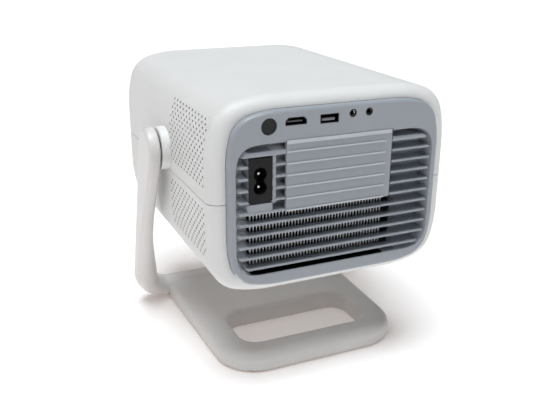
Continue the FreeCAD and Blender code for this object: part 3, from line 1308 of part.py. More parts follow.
def pickup_sled():
    """Laser pickup with its lens, bored for the rods, reaching over to the lead screw."""
    z0 = level(TRAY_BOTTOM) + SLED_UP
    y0 = DISC_Y + SLED_INNER
    top = level(TRAY_FLOOR) - SLED_DOWN
    half = SLED_W / 2 - SLED_UP
    body = soft_block(-half, half, y0, y0 + SLED_L, z0, top, Z_AXIS, SLED_R)
    lens = rod(V(0, y0 + SLED_L / 3, top), Z_AXIS, PICKUP_LENS_R, PICKUP_LENS_T)
    arm = block(half - SLED_R, SCREW_X + SLED_ARM_END, y0 + SLED_L - SLED_ARM_W, y0 + SLED_L, z0, top)
    bores = [rod(V(x, y0 - 1, level(LEAD_REL)), Y_AXIS, radius + SHAFT_FIT, SLED_L + 2)
             for x, radius in ((-ROD_X, ROD_R), (ROD_X, ROD_R), (SCREW_X, LEAD_R))]
    return join([body, lens, arm]).cut(Part.makeCompound(bores))


def spindle_ears(grow):
    """Strip across the spindle motor by which the tray holds it."""
    z0 = level(TRAY_BOTTOM) + SPINDLE_UP
    reach = SPINDLE_R + EAR_REACH + grow
    half = EAR_W / 2 + grow
    return block(-reach, reach, DISC_Y - half, DISC_Y + half, z0 - 3 * grow, z0 + EAR_T + grow)


def spindle_motor():
    """Flat motor under the turntable."""
    z0 = level(TRAY_BOTTOM) + SPINDLE_UP
    top = level(PLATTER_TOP) - PLATTER_T - PLAY
    body = rod(V(0, DISC_Y, z0), Z_AXIS, SPINDLE_R, top - z0)
    bore = rod(V(0, DISC_Y, z0 + EAR_T), Z_AXIS, SPINDLE_SHAFT_R + SHAFT_FIT, top - z0)
    return body.fuse(spindle_ears(0)).cut(bore)


def turntable():
    """Platter with the hub that snaps into a disc's centre hole, and its three catch balls."""
    top = level(PLATTER_TOP)
    hub_top = level(HUB_TOP)
    hub_r = HUB_BORE_R - FIT_GAP
    platter = rod(V(0, DISC_Y, top - PLATTER_T), Z_AXIS, PLATTER_R, PLATTER_T)
    hub = rod(V(0, DISC_Y, top), Z_AXIS, hub_r, hub_top - top - HUB_TAPER)
    crown = Part.makeCone(hub_r, hub_r - 1.5 * HUB_TAPER, HUB_TAPER, V(0, DISC_Y, hub_top - HUB_TAPER),
                          Z_AXIS)
    foot_z = level(TRAY_BOTTOM) + SPINDLE_UP + EAR_T + PLAY
    shaft = rod(V(0, DISC_Y, foot_z), Z_AXIS, SPINDLE_SHAFT_R, top - foot_z)
    ball_at = HUB_BORE_R - 0.7 * BALL_R
    balls = []
    for i in range(3):
        angle = 2 * math.pi * i / 3 + math.pi / 6
        centre = V(ball_at * math.cos(angle), DISC_Y + ball_at * math.sin(angle), hub_top - 1.6 * BALL_R)
        balls.append(Part.makeSphere(BALL_R, centre))
    return join([platter, hub, crown, shaft] + balls)


def tray_bezel():
    """Front strip of the tray, with the eject button's hole and the release pinhole."""
    z0 = level(BEZEL_BOTTOM)
    z1 = level(BEZEL_TOP)
    mid = (z0 + z1) / 2
    back = BEZEL_Y + BEZEL_T
    strip = soft_block(-BEZEL_HALF_W, BEZEL_HALF_W, BEZEL_Y, back, z0, z1, Y_AXIS, BEZEL_R)
    strip = strip.makeFillet(BEZEL_EDGE_R, edges_in_plane(strip, "Y", BEZEL_Y))
    half_w = BUTTON_W / 2 + PLAY
    half_h = BUTTON_H / 2 + PLAY
    hole = soft_block(BUTTON_X - half_w, BUTTON_X + half_w, BEZEL_Y - 1, back + 1, mid - half_h, mid + half_h,
                      Y_AXIS, BUTTON_H / 2)
    pinhole = rod(V(PINHOLE_X, BEZEL_Y - 1, mid), Y_AXIS, PINHOLE_R, BEZEL_T + 2)
    return strip.cut(Part.makeCompound([hole, pinhole]))


def eject_button():
    """Small oblong button in the tray's front strip."""
    mid = (level(BEZEL_BOTTOM) + level(BEZEL_TOP)) / 2
    y0 = BEZEL_Y - BUTTON_PROUD
    cap = soft_block(BUTTON_X - BUTTON_W / 2, BUTTON_X + BUTTON_W / 2, y0, y0 + BUTTON_D, mid - BUTTON_H / 2,
                     mid + BUTTON_H / 2, Y_AXIS, BUTTON_H / 2 - 0.05)
    return cap.makeFillet(0.4, edges_in_plane(cap, "Y", y0))


# ---------------------------------------------------------------- pivots, yoke and base
def pivot_hub(side):
    """Disc that spaces the case from a yoke arm, seated on the curved side and spigoted through it."""
    inner_x = CASE_W / 2 - 2 * CASE_WALL
    flange = rod(V(CASE_W / 2 - 2, PIVOT_Y, PIVOT_Z), X_AXIS, HUB_R, HUB_OUT_X - CASE_W / 2 + 2)
    flange = flange.makeFillet(1.0, edges_in_plane(flange, "X", HUB_OUT_X))
    flange = flange.cut(case_solid(0))
    spigot = rod(V(inner_x, PIVOT_Y, PIVOT_Z), X_AXIS, SPIGOT_R - FIT_GAP, HUB_OUT_X - inner_x)
    hub = join([flange, spigot])
    hub = hub.cut(rod(V(inner_x - 1, PIVOT_Y, PIVOT_Z), X_AXIS, SHAFT_R, CASE_W))
    return hub if side > 0 else hub.mirror(V(0, 0, 0), X_AXIS)


def both_sides(shape):
    """A shape and its mirror image across the middle of the object."""
    return Part.makeCompound([shape, shape.mirror(V(0, 0, 0), X_AXIS)])


def pivot_shafts():
    """Steel shafts fixed in the hubs, which the yoke's arms turn on."""
    start = CASE_W / 2 - 3 * CASE_WALL - NUT_T
    end = YOKE_OUT_X - 2.6
    shaft = rod(V(start, PIVOT_Y, PIVOT_Z), X_AXIS, SHAFT_R, end - start)
    return both_sides(shaft.makeChamfer(0.5, edges_in_plane(shaft, "X", end)))


def pivot_nuts():
    """Nuts inside the case that hold the hubs and shafts."""
    start = CASE_W / 2 - 2 * CASE_WALL - NUT_T
    turns = [math.pi * i / 3 for i in range(6)]
    corners = [V(start, PIVOT_Y + NUT_R * math.cos(a), PIVOT_Z + NUT_R * math.sin(a)) for a in turns]
    nut = prism(corners, V(NUT_T, 0, 0))
    return both_sides(nut.cut(rod(V(start - 1, PIVOT_Y, PIVOT_Z), X_AXIS, SHAFT_R, NUT_T + 2)))


def friction_washers():
    """Thin washers between the hubs and the arms."""
    washer = tube(V(HUB_OUT_X, PIVOT_Y, PIVOT_Z), X_AXIS, WASHER_R, SHAFT_R, WASHER_T)
    return both_sides(washer)


def arm_section(along, thick, wide, radius, mid_x):
    """Rounded outline across an arm, at a distance along it from the pivot."""
    centre = V(mid_x, PIVOT_Y, PIVOT_Z) + ARM_DOWN * along
    half_t = thick / 2
    half_w = wide / 2
    edges = []
    last = None
    first = None
    for sx, sw in ((1, 1), (-1, 1), (-1, -1), (1, -1)):
        corner = centre + X_AXIS * (sx * (half_t - radius)) + ARM_ACROSS * (sw * (half_w - radius))
        to_side = X_AXIS * (sx * radius)
        to_edge = ARM_ACROSS * (sw * radius)
        begin, end = (to_side, to_edge) if sx * sw > 0 else (to_edge, to_side)
        middle = (to_side + to_edge) * math.sqrt(0.5)
        if last is not None:
            edges.append(Part.LineSegment(last, corner + begin).toShape())
        else:
            first = corner + begin
        edges.append(Part.Arc(corner + begin, corner + middle, corner + end).toShape())
        last = corner + end
    edges.append(Part.LineSegment(last, first).toShape())
    return Part.Wire(edges)


def yoke_arm():
    """Left arm: a round head at the pivot, a tapering blade and a bend into the cross tube."""
    bend_at = ARM_L - BEND_R
    bend_x = YOKE_OUT_X - TUBE_R
    thick_low = 2 * TUBE_R
    stations = ((0, ARM_T, 2 * ARM_HEAD_R, ARM_EDGE_R), (26, ARM_T, 27.5, ARM_EDGE_R),
                (56, ARM_T + 0.6, 21.5, 3.6), (86, ARM_T + 2.4, 18.6, 4.6), (112, thick_low - 2.6, 17.8, 7.0),
                (bend_at, thick_low, thick_low, TUBE_R - TUBE_FLAT / 2))
    sections = [arm_section(s, t, w, r, YOKE_OUT_X - t / 2) for s, t, w, r in stations]
    blade = Part.makeLoft(sections, True, False)
    head = rod(V(YOKE_OUT_X - ARM_T, PIVOT_Y, PIVOT_Z), X_AXIS, ARM_HEAD_R, ARM_T)
    rims = edges_in_plane(head, "X", YOKE_OUT_X) + edges_in_plane(head, "X", YOKE_OUT_X - ARM_T)
    head = head.makeFillet(ARM_EDGE_R, rims)
    turn_at = V(bend_x - BEND_R, PIVOT_Y, PIVOT_Z) + ARM_DOWN * bend_at
    start = Part.Face(sections[-1])
    bend = start.revolve(turn_at, ARM_ACROSS, 90)
    cross = start.rotated(turn_at, ARM_ACROSS, 90).extrude(X_AXIS * -2 * turn_at.x)
    return blade, head, bend, cross


def yoke():
    """Bent one-piece yoke: two arms and the cross tube they share."""
    blade, head, bend, cross = yoke_arm()
    arm = blade.multiFuse([head, bend], WELD)
    other = arm.mirror(V(0, 0, 0), X_AXIS)
    shape = arm.multiFuse([other, cross], WELD)
    depth = YOKE_OUT_X - 2.4
    bores = [rod(V(s * depth, PIVOT_Y, PIVOT_Z), X_AXIS * -s, SHAFT_R + SHAFT_FIT, ARM_T) for s in (-1, 1)]
    pins = [rod(V(s * DOWEL_X, TUBE_Y, TUBE_Z), Y_AXIS, DOWEL_R, DOWEL_L) for s in (-1, 1)]
    return shape.cut(Part.makeCompound(bores + pins))


def foot_places():
    """Centres of the four feet under the base."""
    rear = (BASE_REAR_HALF_W - FOOT_IN_REAR, BASE_REAR_Y - FOOT_IN)
    front = (BASE_FRONT_HALF_W - FOOT_IN_FRONT, TUBE_Y + TUBE_R + FOOT_BEHIND_TUBE)
    return [(side * x, y) for side in (-1, 1) for x, y in (rear, front)]


def foot(x, y, grow, z0, z1):
    """Long pad with round ends."""
    half_l = FOOT_L / 2 + grow
    half_w = FOOT_W / 2 + grow
    return soft_block(x - half_l, x + half_l, y - half_w, y + half_w, z0, z1, Z_AXIS, half_w - 0.05)


def base_feet():
    """Four soft pads let into the base's underside."""
    return Part.makeCompound([foot(x, y, 0, 0, BASE_LIFT + FOOT_SUNK) for x, y in foot_places()])


def base_slab(yoke_shape):
    """Flat stand with a wide hand slot, its front edge hollowed to hug the cross tube."""
    z0 = BASE_LIFT
    z1 = BASE_LIFT + BASE_T
    front_y = TUBE_Y + TUBE_R / 3
    rear = BASE_REAR_HALF_W
    front = BASE_FRONT_HALF_W
    plate = prism([V(-front, front_y, z0), V(front, front_y, z0), V(rear, BASE_REAR_Y, z0),
                   V(-rear, BASE_REAR_Y, z0)], V(0, 0, BASE_T))
    corners = [e for e in edges_along(plate, Z_AXIS) if e.BoundBox.YMin > SLOT_REAR_Y]
    plate = plate.makeFillet(BASE_CORNER_R, corners)
    top = [e for e in edges_in_plane(plate, "Z", z1) if e.BoundBox.YMax > front_y + 1]
    plate = plate.makeFillet(BASE_TOP_R, top)
    bottom = [e for e in edges_in_plane(plate, "Z", z0) if e.BoundBox.YMax > front_y + 1]
    plate = plate.makeFillet(BASE_BOTTOM_R, bottom)
    slot = soft_block(-SLOT_HALF_W, SLOT_HALF_W, SLOT_FRONT_Y, SLOT_REAR_Y, z0 - 1, z1 + 1, Z_AXIS, SLOT_R)
    plate = plate.cut(slot)
    mouth = [e for e in edges_in_plane(plate, "Z", z1)
             if abs(e.CenterOfMass.x) <= SLOT_HALF_W and SLOT_FRONT_Y <= e.CenterOfMass.y <= SLOT_REAR_Y]
    plate = plate.makeFillet(SLOT_EDGE_R, mouth)
    tools = [foot(x, y, 0, z0 - 1, z0 + FOOT_SUNK) for x, y in foot_places()]
    plate = plate.cut(Part.makeCompound(tools)).cut(yoke_shape)
    return plate.cut(base_dowels())


def base_dowels():
    """Steel pins that tie the cross tube to the base."""
    return Part.makeCompound([rod(V(s * DOWEL_X, TUBE_Y, TUBE_Z), Y_AXIS, DOWEL_R, DOWEL_L) for s in (-1, 1)])


# ---------------------------------------------------------------- the whole object
def build():
    """Every node's name and shape."""
    upper, lower = case_shells()
    yoke_shape = yoke()
    return {
        "upper_shell": upper,
        "lower_shell": lower,
        "left_grilles": side_grilles(1),
        "right_grilles": side_grilles(-1),
        "case_screws": case_screws(),
        "inner_frame": inner_frame(),
        "rear_panel": rear_panel(),
        "rear_cover_plate": rear_cover_plate(),
        "power_inlet": power_inlet(),
        "inlet_pins": inlet_pins(),
        "ir_window": ir_window(),
        "hdmi_socket": socket("hdmi", HDMI_X, HDMI_REL, HDMI_W, HDMI_H, HDMI_TONGUE_T, HDMI_TONGUE_LIFT),
        "usb_socket": socket("usb", USB_X, USB_REL, USB_W, USB_H, USB_TONGUE_T, USB_TONGUE_LIFT),
        "audio_jacks": audio_jacks(),
        "front_panel": front_panel(),
        "lens_ring": lens_ring(),
        "lens_barrel": lens_barrel(),
        "lens_glass": lens_glass(),
        "lens_mount": lens_mount(),
        "focus_gear": focus_gear(),
        "focus_pinion": focus_pinion(),
        "focus_shaft": focus_shaft(),
        "focus_motor": focus_motor(),
        "light_engine": light_engine(),
        "lcd_panel": lcd_panel(),
        "fresnel_lenses": fresnel_lenses(),
        "led_module": led_module(),
        "heat_pipes": heat_pipes(),
        "heat_sink": heat_sink(),
        "fan_frame": fan_frame(),
        "fan_rotor": fan_rotor(),
        "main_board": main_board(),
        "power_supply": power_supply(),
        "left_speaker": speaker(1),
        "right_speaker": speaker(-1),
        "drive_chassis": drive_chassis(),
        "disc_tray": tray(),
        "tray_bezel": tray_bezel(),
        "eject_button": eject_button(),
        "spindle_motor": spindle_motor(),
        "turntable": turntable(),
        "pickup_sled": pickup_sled(),
        "guide_rods": guide_rods(),
        "lead_screw": lead_screw(),
        "sled_motor": sled_motor(),
        "left_hub": pivot_hub(1),
        "right_hub": pivot_hub(-1),
        "pivot_shafts": pivot_shafts(),
        "pivot_nuts": pivot_nuts(),
        "friction_washers": friction_washers(),
        "yoke": yoke_shape,
        "base_slab": base_slab(yoke_shape),
        "base_dowels": base_dowels(),
        "base_feet": base_feet(),
    }


os.makedirs("parts", exist_ok=True)
for name, shape in build().items():
    shape.exportStep("parts/" + name + ".step")
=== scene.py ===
"""Looks of the tilting projector with a disc drive: finishes, perforated sides, contacts, light and camera.

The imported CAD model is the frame. Places are read from its nodes; all lengths are in metres. Z is up from
the table, +Y faces the louvred rear, and +X is the side of the power inlet.
"""

import math

import bmesh
import bpy
from mathutils import Matrix, Vector
from mathutils.bvhtree import BVHTree
from mathutils.geometry import delaunay_2d_cdt


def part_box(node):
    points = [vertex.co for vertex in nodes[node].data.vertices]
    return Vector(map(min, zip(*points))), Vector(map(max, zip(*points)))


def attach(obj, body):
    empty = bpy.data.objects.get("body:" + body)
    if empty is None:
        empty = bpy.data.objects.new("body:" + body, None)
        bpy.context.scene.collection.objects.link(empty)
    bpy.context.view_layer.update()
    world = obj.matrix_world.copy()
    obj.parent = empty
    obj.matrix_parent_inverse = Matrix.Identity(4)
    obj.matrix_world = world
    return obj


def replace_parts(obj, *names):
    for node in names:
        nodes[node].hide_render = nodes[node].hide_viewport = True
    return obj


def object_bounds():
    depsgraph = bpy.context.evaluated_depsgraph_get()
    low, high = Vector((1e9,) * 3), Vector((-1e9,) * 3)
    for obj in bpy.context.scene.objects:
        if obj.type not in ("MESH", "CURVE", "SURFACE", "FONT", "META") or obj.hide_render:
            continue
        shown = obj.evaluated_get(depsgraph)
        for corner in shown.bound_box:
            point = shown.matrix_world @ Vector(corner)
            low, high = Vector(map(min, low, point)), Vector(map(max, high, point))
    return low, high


MM = 0.001
TINY = 1e-9  # guards a division, and is the triangulation's tolerance
SIDEWAYS, REARWARD, UPWARD = (1, 0, 0), (0, 1, 0), (0, 0, 1)

# ---------------------------------------------------------------- camera, from the photograph
CAMERA_PLACE = Vector((217.55, 490.75, 285.3)) * MM
CAMERA_AZIMUTH = math.radians(155.839)
CAMERA_ELEVATION = math.radians(20.271)
CAMERA_ROLL = math.radians(0.452)
CAMERA_LENS = 48.26
SENSOR_WIDTH = 36.0
CLIP_NEAR, CLIP_FAR = 0.01, 60.0

# ---------------------------------------------------------------- sizes of the perforated sides
HOLE_RADIUS = 0.9 * MM
HOLE_STEP = 5.8 * MM  # from hole to hole up a column
COLUMN_STEP = 3.1 * MM  # from column to column along the case
HOLE_SIDES = 12
FIELD_MARGIN = 1.5 * MM
FIELD_CORNER = 3.0 * MM
CORNER_STEPS = 5
OUTLINE_STEP = 1.5 * MM  # between points on a field's outline
CORNER_CLEAR = 9.0 * MM  # radius of the arc that the holes keep to at a field's outer rear corner
SECTION_AT = 0.37  # where a field's section is taken, as a share of its width from the front
SECTION_STEPS = 80
SECTION_INSET = 0.02 * MM  # from a field's lower and upper edge to the ends of its section
SKIN = 1.8 * MM
SKIN_OVER = 0.6 * MM  # how far a field's outer face runs out over the shell
SKIN_PROUD = 0.012 * MM
SMOOTH_ANGLE = math.radians(35)  # edges sharper than this stay sharp
FIELD_SMOOTH_ANGLE = math.radians(30)
WELD = 0.001 * MM  # vertices closer than this are one

# ---------------------------------------------------------------- sizes in the sockets
SHEET_T = 0.35 * MM  # metal of the two rectangular sockets
SHELL_CORNER = 0.3 * MM
SHELL_FLOOR = 1.0 * MM  # closed inner end of a socket
LEG_WIDTH, LEG_LENGTH = 0.6, 0.55  # as shares of the shell
TONGUE_BACK = 1.3 * MM  # from a socket's mouth to its tongue
TONGUE_LEAD = 0.3 * MM  # chamfer on the nose of a tongue
CONTACT_T = 0.12 * MM
CONTACTS_ACROSS = 0.86  # share of the tongue's width that the row of contacts takes
CONTACT_WIDTH = 0.45  # share of the contacts' pitch
CONTACT_START = 2.0 * MM  # from the inner end of the socket
CONTACT_BENDS = (  # back from the tongue's nose, and up from its face
    (4.0 * MM, 0.0), (2.4 * MM, 0.25 * MM), (1.4 * MM, 0.25 * MM), (0.7 * MM, 0.0))
USB = {"height": 5.5 * MM, "corner": SHELL_CORNER, "tongue_w": 9.0 * MM, "tongue_t": 1.9 * MM,
       "tongue_drop": 0.85 * MM, "pins": 4}
HDMI = {"height": 4.6 * MM, "corner": 2.0 * MM, "tongue_w": 10.3 * MM, "tongue_t": 0.8 * MM,
        "tongue_drop": 0.4 * MM, "pins": 10}
JACK_RADIUS = 2.45 * MM
JACK_RING_BACK = 1.5 * MM  # from a jack's mouth to its contact ring
JACK_RING = (  # radius, and place along the bore
    (1.55 * MM, -0.2 * MM), (1.62 * MM, 0.1 * MM), (1.85 * MM, 0.25 * MM), (2.2 * MM, 0.25 * MM),
    (2.2 * MM, -0.6 * MM), (1.62 * MM, -0.5 * MM))

# ---------------------------------------------------------------- sizes in the disc drive
SUNK = 0.02 * MM  # how far a laid-on piece reaches into what carries it
PLATTER_DOWN = 3.5 * MM  # from the top of the hub to the platter's face
PLATTER_RING_OUT, PLATTER_RING_IN = 13.4 * MM, 9.0 * MM
RIBS = 5
RIB_FOOT, RIB_TOP = 0.42, 0.2  # half widths, as shares of the ribs' pitch
RIB_LOW, RIB_HIGH = 0.10 * MM, 0.22 * MM
PICKUP_LENS_BACK = 5.0 * MM  # from the sled's front edge to the lens, on the drive's middle line X = 0
PICKUP_RING = (  # radius and height of the lens's holder
    (1.8 * MM, -0.03 * MM), (1.8 * MM, 0.2 * MM), (2.0 * MM, 0.26 * MM), (2.3 * MM, 0.22 * MM),
    (2.42 * MM, 0.1 * MM), (2.42 * MM, -0.03 * MM))
PICKUP_GLASS_RADIUS, PICKUP_GLASS_RISE = 1.78 * MM, 0.32 * MM
DOME_STEPS = 8

# ---------------------------------------------------------------- values of the light and stage
SUN_POWER = 3.1
SUN_WIDTH = math.radians(36)
SUN_BACK = Vector((0.11, 0.11, 1.0))  # from the object towards the light
SUN_COLOUR = (0.935, 0.975, 1.0)
LAMPS = (  # name, place, size, power, colour
    ("side_fill", (1.35, 0.0, 1.05), (1.2, 1.0), 1.5, (1.0, 0.72, 0.63)),
    ("rear_fill", (-0.5, 1.7, 0.6), (1.4, 0.9), 0.7, (0.95, 0.98, 1.0)),
    ("front_fill", (-0.9, -1.5, 1.0), (1.2, 1.2), 1.5, (1.0, 1.0, 1.0)),
)
SKY_COLOUR = (1.0, 1.0, 1.0, 1.0)
SKY_STRENGTH = 0.10
FLOOR_HALF = 12.0
BACKDROP_RADIUS, BACKDROP_HEIGHT, BACKDROP_SIDES = 11.5, 10.0, 96


def srgb(red, green, blue):
    """Linear colour from 0 to 255 display values."""
    values = [v / 255 for v in (red, green, blue)]
    return [v / 12.92 if v <= 0.04045 else ((v + 0.055) / 1.055) ** 2.4 for v in values] + [1.0]


def shade(colour, factor):
    """A linear colour made darker or lighter."""
    return [min(1.0, c * factor) for c in colour[:3]] + [1.0]


# ---------------------------------------------------------------- finishes
CASE_WHITE = srgb(231, 231, 230)
PANEL_GREY = srgb(159, 164, 171)
CHARCOAL = srgb(15, 15, 17)
BLACK, WHITE = (0, 0, 0, 1), (1, 1, 1, 1)
DULL = {"Specular IOR Level": 0.3}

EVEN = (1.0, 1.0, 1.0)
MIX_BASE, MIX_OTHER, MIX_RESULT = 6, 7, 2  # the colour sockets of a Mix node
NOISE_LOW, NOISE_HIGH = 0.3, 0.7  # noise values at which a drift starts and ends
BEND_SLIGHT, BEND_FULL = 0.985, 0.8  # cosines of the bend at an edge where wear starts and is full
WEAR_PATCH = 6 * MM
WEAR_LOW, WEAR_HIGH = 0.35, 0.65  # noise values at which an edge is new and worn
WORN = 1.35  # how much lighter a worn edge is

MOULD_EDGE = 0.35 * MM
MOULD_GRAIN, MOULD_RELIEF = 0.35 * MM, 0.012 * MM
MOULD_DRIFT, MOULD_SPREAD = 40 * MM, 0.03
MOULD_GLOSS = 9 * MM
CASE_LOW, CASE_HIGH = 0.42, 0.52  # roughness of the white case

PANEL_EDGE, COVER_EDGE = 0.4 * MM, 0.3 * MM
PANEL_WEAR = 0.3
PANEL_LOW, PANEL_HIGH = 0.30, 0.40  # roughness
# painted highlight on the cover's raised ribs and bead
RIB_HIGHLIGHT_FACE, RIB_HIGHLIGHT_ROOT = 0.2 * MM, 0.45 * MM  # depths between which the tint of the cover's ribs ends

RECESS_RIM = 4.4 * MM  # from the rear panel's left side to its recess
RECESS_TOP, RECESS_BOTTOM = 15 * MM, 6 * MM  # from the panel's top and bottom
RECESS_SOFT = 1.5 * MM  # blur of a tint's lower and upper end
# painted light on the floor and walls of the rear panel's recess, and painted shade in its lowest gap
BACKING_LIGHT_DEPTHS = (8.6 * MM, 9.6 * MM)  # where the tint sets in, and where it is full
BACKING_LIGHT_LEFT = (20 * MM, 45 * MM)
SIDE_LIGHT_DEPTHS = (0.4 * MM, 1.4 * MM)
BY_INLET_LIGHT_DEPTHS = (1.2 * MM, 2.4 * MM)
UNDER_INLET = 2 * MM
# painted shade: the lowest gap is painted black
GAP_SHADE_DEPTHS = (0.7 * MM, 0.9 * MM)
GAP_DOWN, GAP_HEIGHT = 1.3 * MM, 8 * MM  # from the fins' lower end to the gap, and the gap itself
PAST_FINS = 1 * MM
# painted shade darkens the heat sink's fins towards their roots
COMB_SHADE_DEPTHS = (0.5 * MM, 1.6 * MM)  # between the fins' bright tips and their dark roots
# painted light on the inlet's side against the recess
INLET_SIDE_LIGHT = (0.12 * MM, 0.06 * MM)  # in from the inlet's side, where its tint sets in and is full


class Finish:
    """A procedural material: one Principled shader and the noises that feed it."""

    def __init__(self, name, colour, metallic=0.0, **inputs):
        self.name = name
        self.material = bpy.data.materials.new(name)
        self.material.use_nodes = True
        self.tree = self.material.node_tree
        self.shader = self.tree.nodes["Principled BSDF"]
        self.colour = colour
        self.put(self.shader, {"Base Color": colour, "Metallic": metallic})
        self.put(self.shader, inputs)
        self.place = self.add("ShaderNodeTexCoord").outputs["Object"]
        self.colour_out = None
        self.normal_out = None

    def put(self, node, values):
        """Sets or links a node's inputs."""
        for key, value in values.items():
            entry = node.inputs[key]
            if isinstance(value, bpy.types.NodeSocket):
                self.tree.links.new(value, entry)
            else:
                entry.default_value = value

    def add(self, kind, inputs=None, **settings):
        """A new node with its settings and inputs."""
        node = self.tree.nodes.new(kind)
        for key, value in settings.items():
            setattr(node, key, value)
        self.put(node, inputs or {})
        return node

    def noise(self, size, detail=2.0, stretch=EVEN):
        """Noise with blotches about a size across, times the stretch along each axis."""
        scale = [1 / (size * s) for s in stretch]
        scaled = self.add("ShaderNodeMapping", {"Vector": self.place, "Scale": scale}).outputs[0]
        inputs = {"Vector": scaled, "Scale": 1.0, "Detail": detail}
        return self.add("ShaderNodeTexNoise", inputs).outputs["Fac"]

    def span(self, value, low, high, to_low=0.0, to_high=1.0):
        """A value rescaled from one range to another, and held within it."""
        inputs = {"Value": value, "From Min": low, "From Max": high, "To Min": to_low, "To Max": to_high}
        return self.add("ShaderNodeMapRange", inputs).outputs[0]

    def math(self, operation, first, second):
        """One arithmetic step."""
        return self.add("ShaderNodeMath", {0: first, 1: second}, operation=operation).outputs[0]

    def product(self, first, *others):
        """Masks and shares multiplied, so that what is left is where all of them hold."""
        for other in others:
            first = self.math("MULTIPLY", first, other)
        return first

    def within(self, value, low, high, soft):
        """One between two values, falling to nothing outside them."""
        return self.product(self.span(value, low - soft, low), self.span(value, high + soft, high))

    def coordinate(self, axis):
        """One coordinate of the place."""
        return self.add("ShaderNodeSeparateXYZ", {"Vector": self.place}).outputs[axis]

    def depth(self, rear):
        """How far a point lies in front of a node's rearmost place."""
        return self.math("SUBTRACT", rear, self.coordinate("Y"))

    def tint(self, mask, other):
        """Blends another colour over the base by a mask."""
        mix = self.add("ShaderNodeMix", {"Factor": mask}, data_type="RGBA")
        self.put(mix, {MIX_BASE: self.colour_out or self.colour, MIX_OTHER: other})
        self.colour_out = mix.outputs[MIX_RESULT]
        self.put(self.shader, {"Base Color": self.colour_out})
        return self

    def mottle(self, size, spread):
        """Slow drift of colour from place to place."""
        drift = self.span(self.noise(size, detail=3.0), NOISE_LOW, NOISE_HIGH)
        return self.tint(drift, shade(self.colour, 1 - spread))

    def vary(self, size, low, high, stretch=EVEN):
        """Roughness that drifts between two values."""
        drift = self.span(self.noise(size, detail=4.0, stretch=stretch), NOISE_LOW, NOISE_HIGH, low, high)
        self.put(self.shader, {"Roughness": drift})
        return self

    def grain(self, size, height, detail=2.0, stretch=EVEN):
        """Fine relief of a moulded, cast or brushed skin."""
        return self.relief(self.noise(size, detail, stretch), height)

    def relief(self, value, height):
        """Relief from any value."""
        inputs = {"Height": value, "Distance": height, "Strength": 1.0}
        if self.normal_out:
            inputs["Normal"] = self.normal_out
        self.normal_out = self.add("ShaderNodeBump", inputs).outputs["Normal"]
        self.put(self.shader, {"Normal": self.normal_out})
        return self

    def edges(self, radius, wear):
        """Rounds the light over sharp edges, and wears them a little lighter."""
        bevel = self.add("ShaderNodeBevel", {"Radius": radius}, samples=4).outputs["Normal"]
        flat = self.add("ShaderNodeNewGeometry").outputs["Normal"]
        facing = self.add("ShaderNodeVectorMath", {0: bevel, 1: flat}, operation="DOT_PRODUCT")
        bent = self.span(facing.outputs["Value"], BEND_SLIGHT, BEND_FULL)
        patch = self.span(self.noise(WEAR_PATCH), WEAR_LOW, WEAR_HIGH)
        self.tint(self.product(bent, patch, wear), shade(self.colour, WORN))
        self.normal_out = bevel
        self.put(self.shader, {"Normal": bevel})
        return self

    def moulding(self, low, high, grain=MOULD_GRAIN, height=MOULD_RELIEF):
        """Drift, gloss and fine spark-eroded grain of moulded plastic."""
        return self.mottle(MOULD_DRIFT, MOULD_SPREAD).vary(MOULD_GLOSS, low, high).grain(grain, height)


def moulded(name, colour, low, high, grain=MOULD_GRAIN, height=MOULD_RELIEF, wear=0.25, **inputs):
    """Moulded plastic, with edges that are a little worn."""
    return Finish(name, colour, **inputs).edges(MOULD_EDGE, wear).moulding(low, high, grain, height)


def machined(name, colour, low, high, stretch=EVEN):
    """Bare metal with tool marks drawn out along one axis."""
    metal = Finish(name, colour, metallic=1.0).edges(0.2 * MM, wear=0.4).mottle(12 * MM, spread=0.08)
    metal.vary(3 * MM, low, high, stretch)
    return metal.grain(0.25 * MM, height=0.006 * MM, detail=3.0, stretch=stretch)


def plastics():
    """Mouldings, paint and rubber of one colour; low and high are roughness."""
    return [
        moulded("white_case", CASE_WHITE, low=CASE_LOW, high=CASE_HIGH),
        moulded("stand_paint", srgb(227, 224, 222), low=0.30, high=0.38, grain=0.6 * MM, height=0.008 * MM,
                **{"Coat Weight": 0.22, "Coat Roughness": 0.3}),
        moulded("stand_plastic", srgb(224, 222, 220), low=0.34, high=0.42),
        moulded("charcoal", CHARCOAL, low=0.51, high=0.56, **DULL),
        moulded("tray_plastic", srgb(46, 47, 50), low=0.46, high=0.5, grain=0.5 * MM, height=0.01 * MM),
        moulded("black_plastic", srgb(26, 26, 28), low=0.41, high=0.46),
        moulded("rubber", srgb(46, 46, 48), low=0.75, high=0.88, grain=0.5 * MM, height=0.03 * MM, wear=0.1),
        moulded("white_gear", srgb(232, 230, 220), low=0.4, high=0.5),
        # painted highlight: the tongues, black plastic by their slot, are light grey to show the highlight
        # along them
        moulded("socket_tongue", srgb(150, 152, 155), low=0.4, high=0.5, grain=0.3 * MM, height=0.004 * MM),
    ]


def metals():
    """Bare and plated metals; low and high are roughness."""
    return [
        machined("steel", srgb(196, 197, 200), low=0.18, high=0.32),
        machined("zinc_steel", srgb(176, 180, 186), low=0.32, high=0.48, stretch=(1.0, 6.0, 1.0)),
        machined("copper", srgb(205, 128, 92), low=0.22, high=0.38, stretch=(1.0, 5.0, 1.0)),
        machined("aluminium", srgb(214, 215, 216), low=0.45, high=0.6, stretch=(1.0, 1.0, 8.0)),
        machined("nickel", srgb(208, 205, 196), low=0.12, high=0.22),
        machined("socket_steel", srgb(52, 53, 56), low=0.3, high=0.42),
        machined("gold", srgb(226, 184, 104), low=0.16, high=0.28),
    ]


def white_skin():
    """The case's white for the perforated fields, whose many edges stay crisp."""
    return Finish("white_skin", CASE_WHITE).moulding(CASE_LOW, CASE_HIGH)


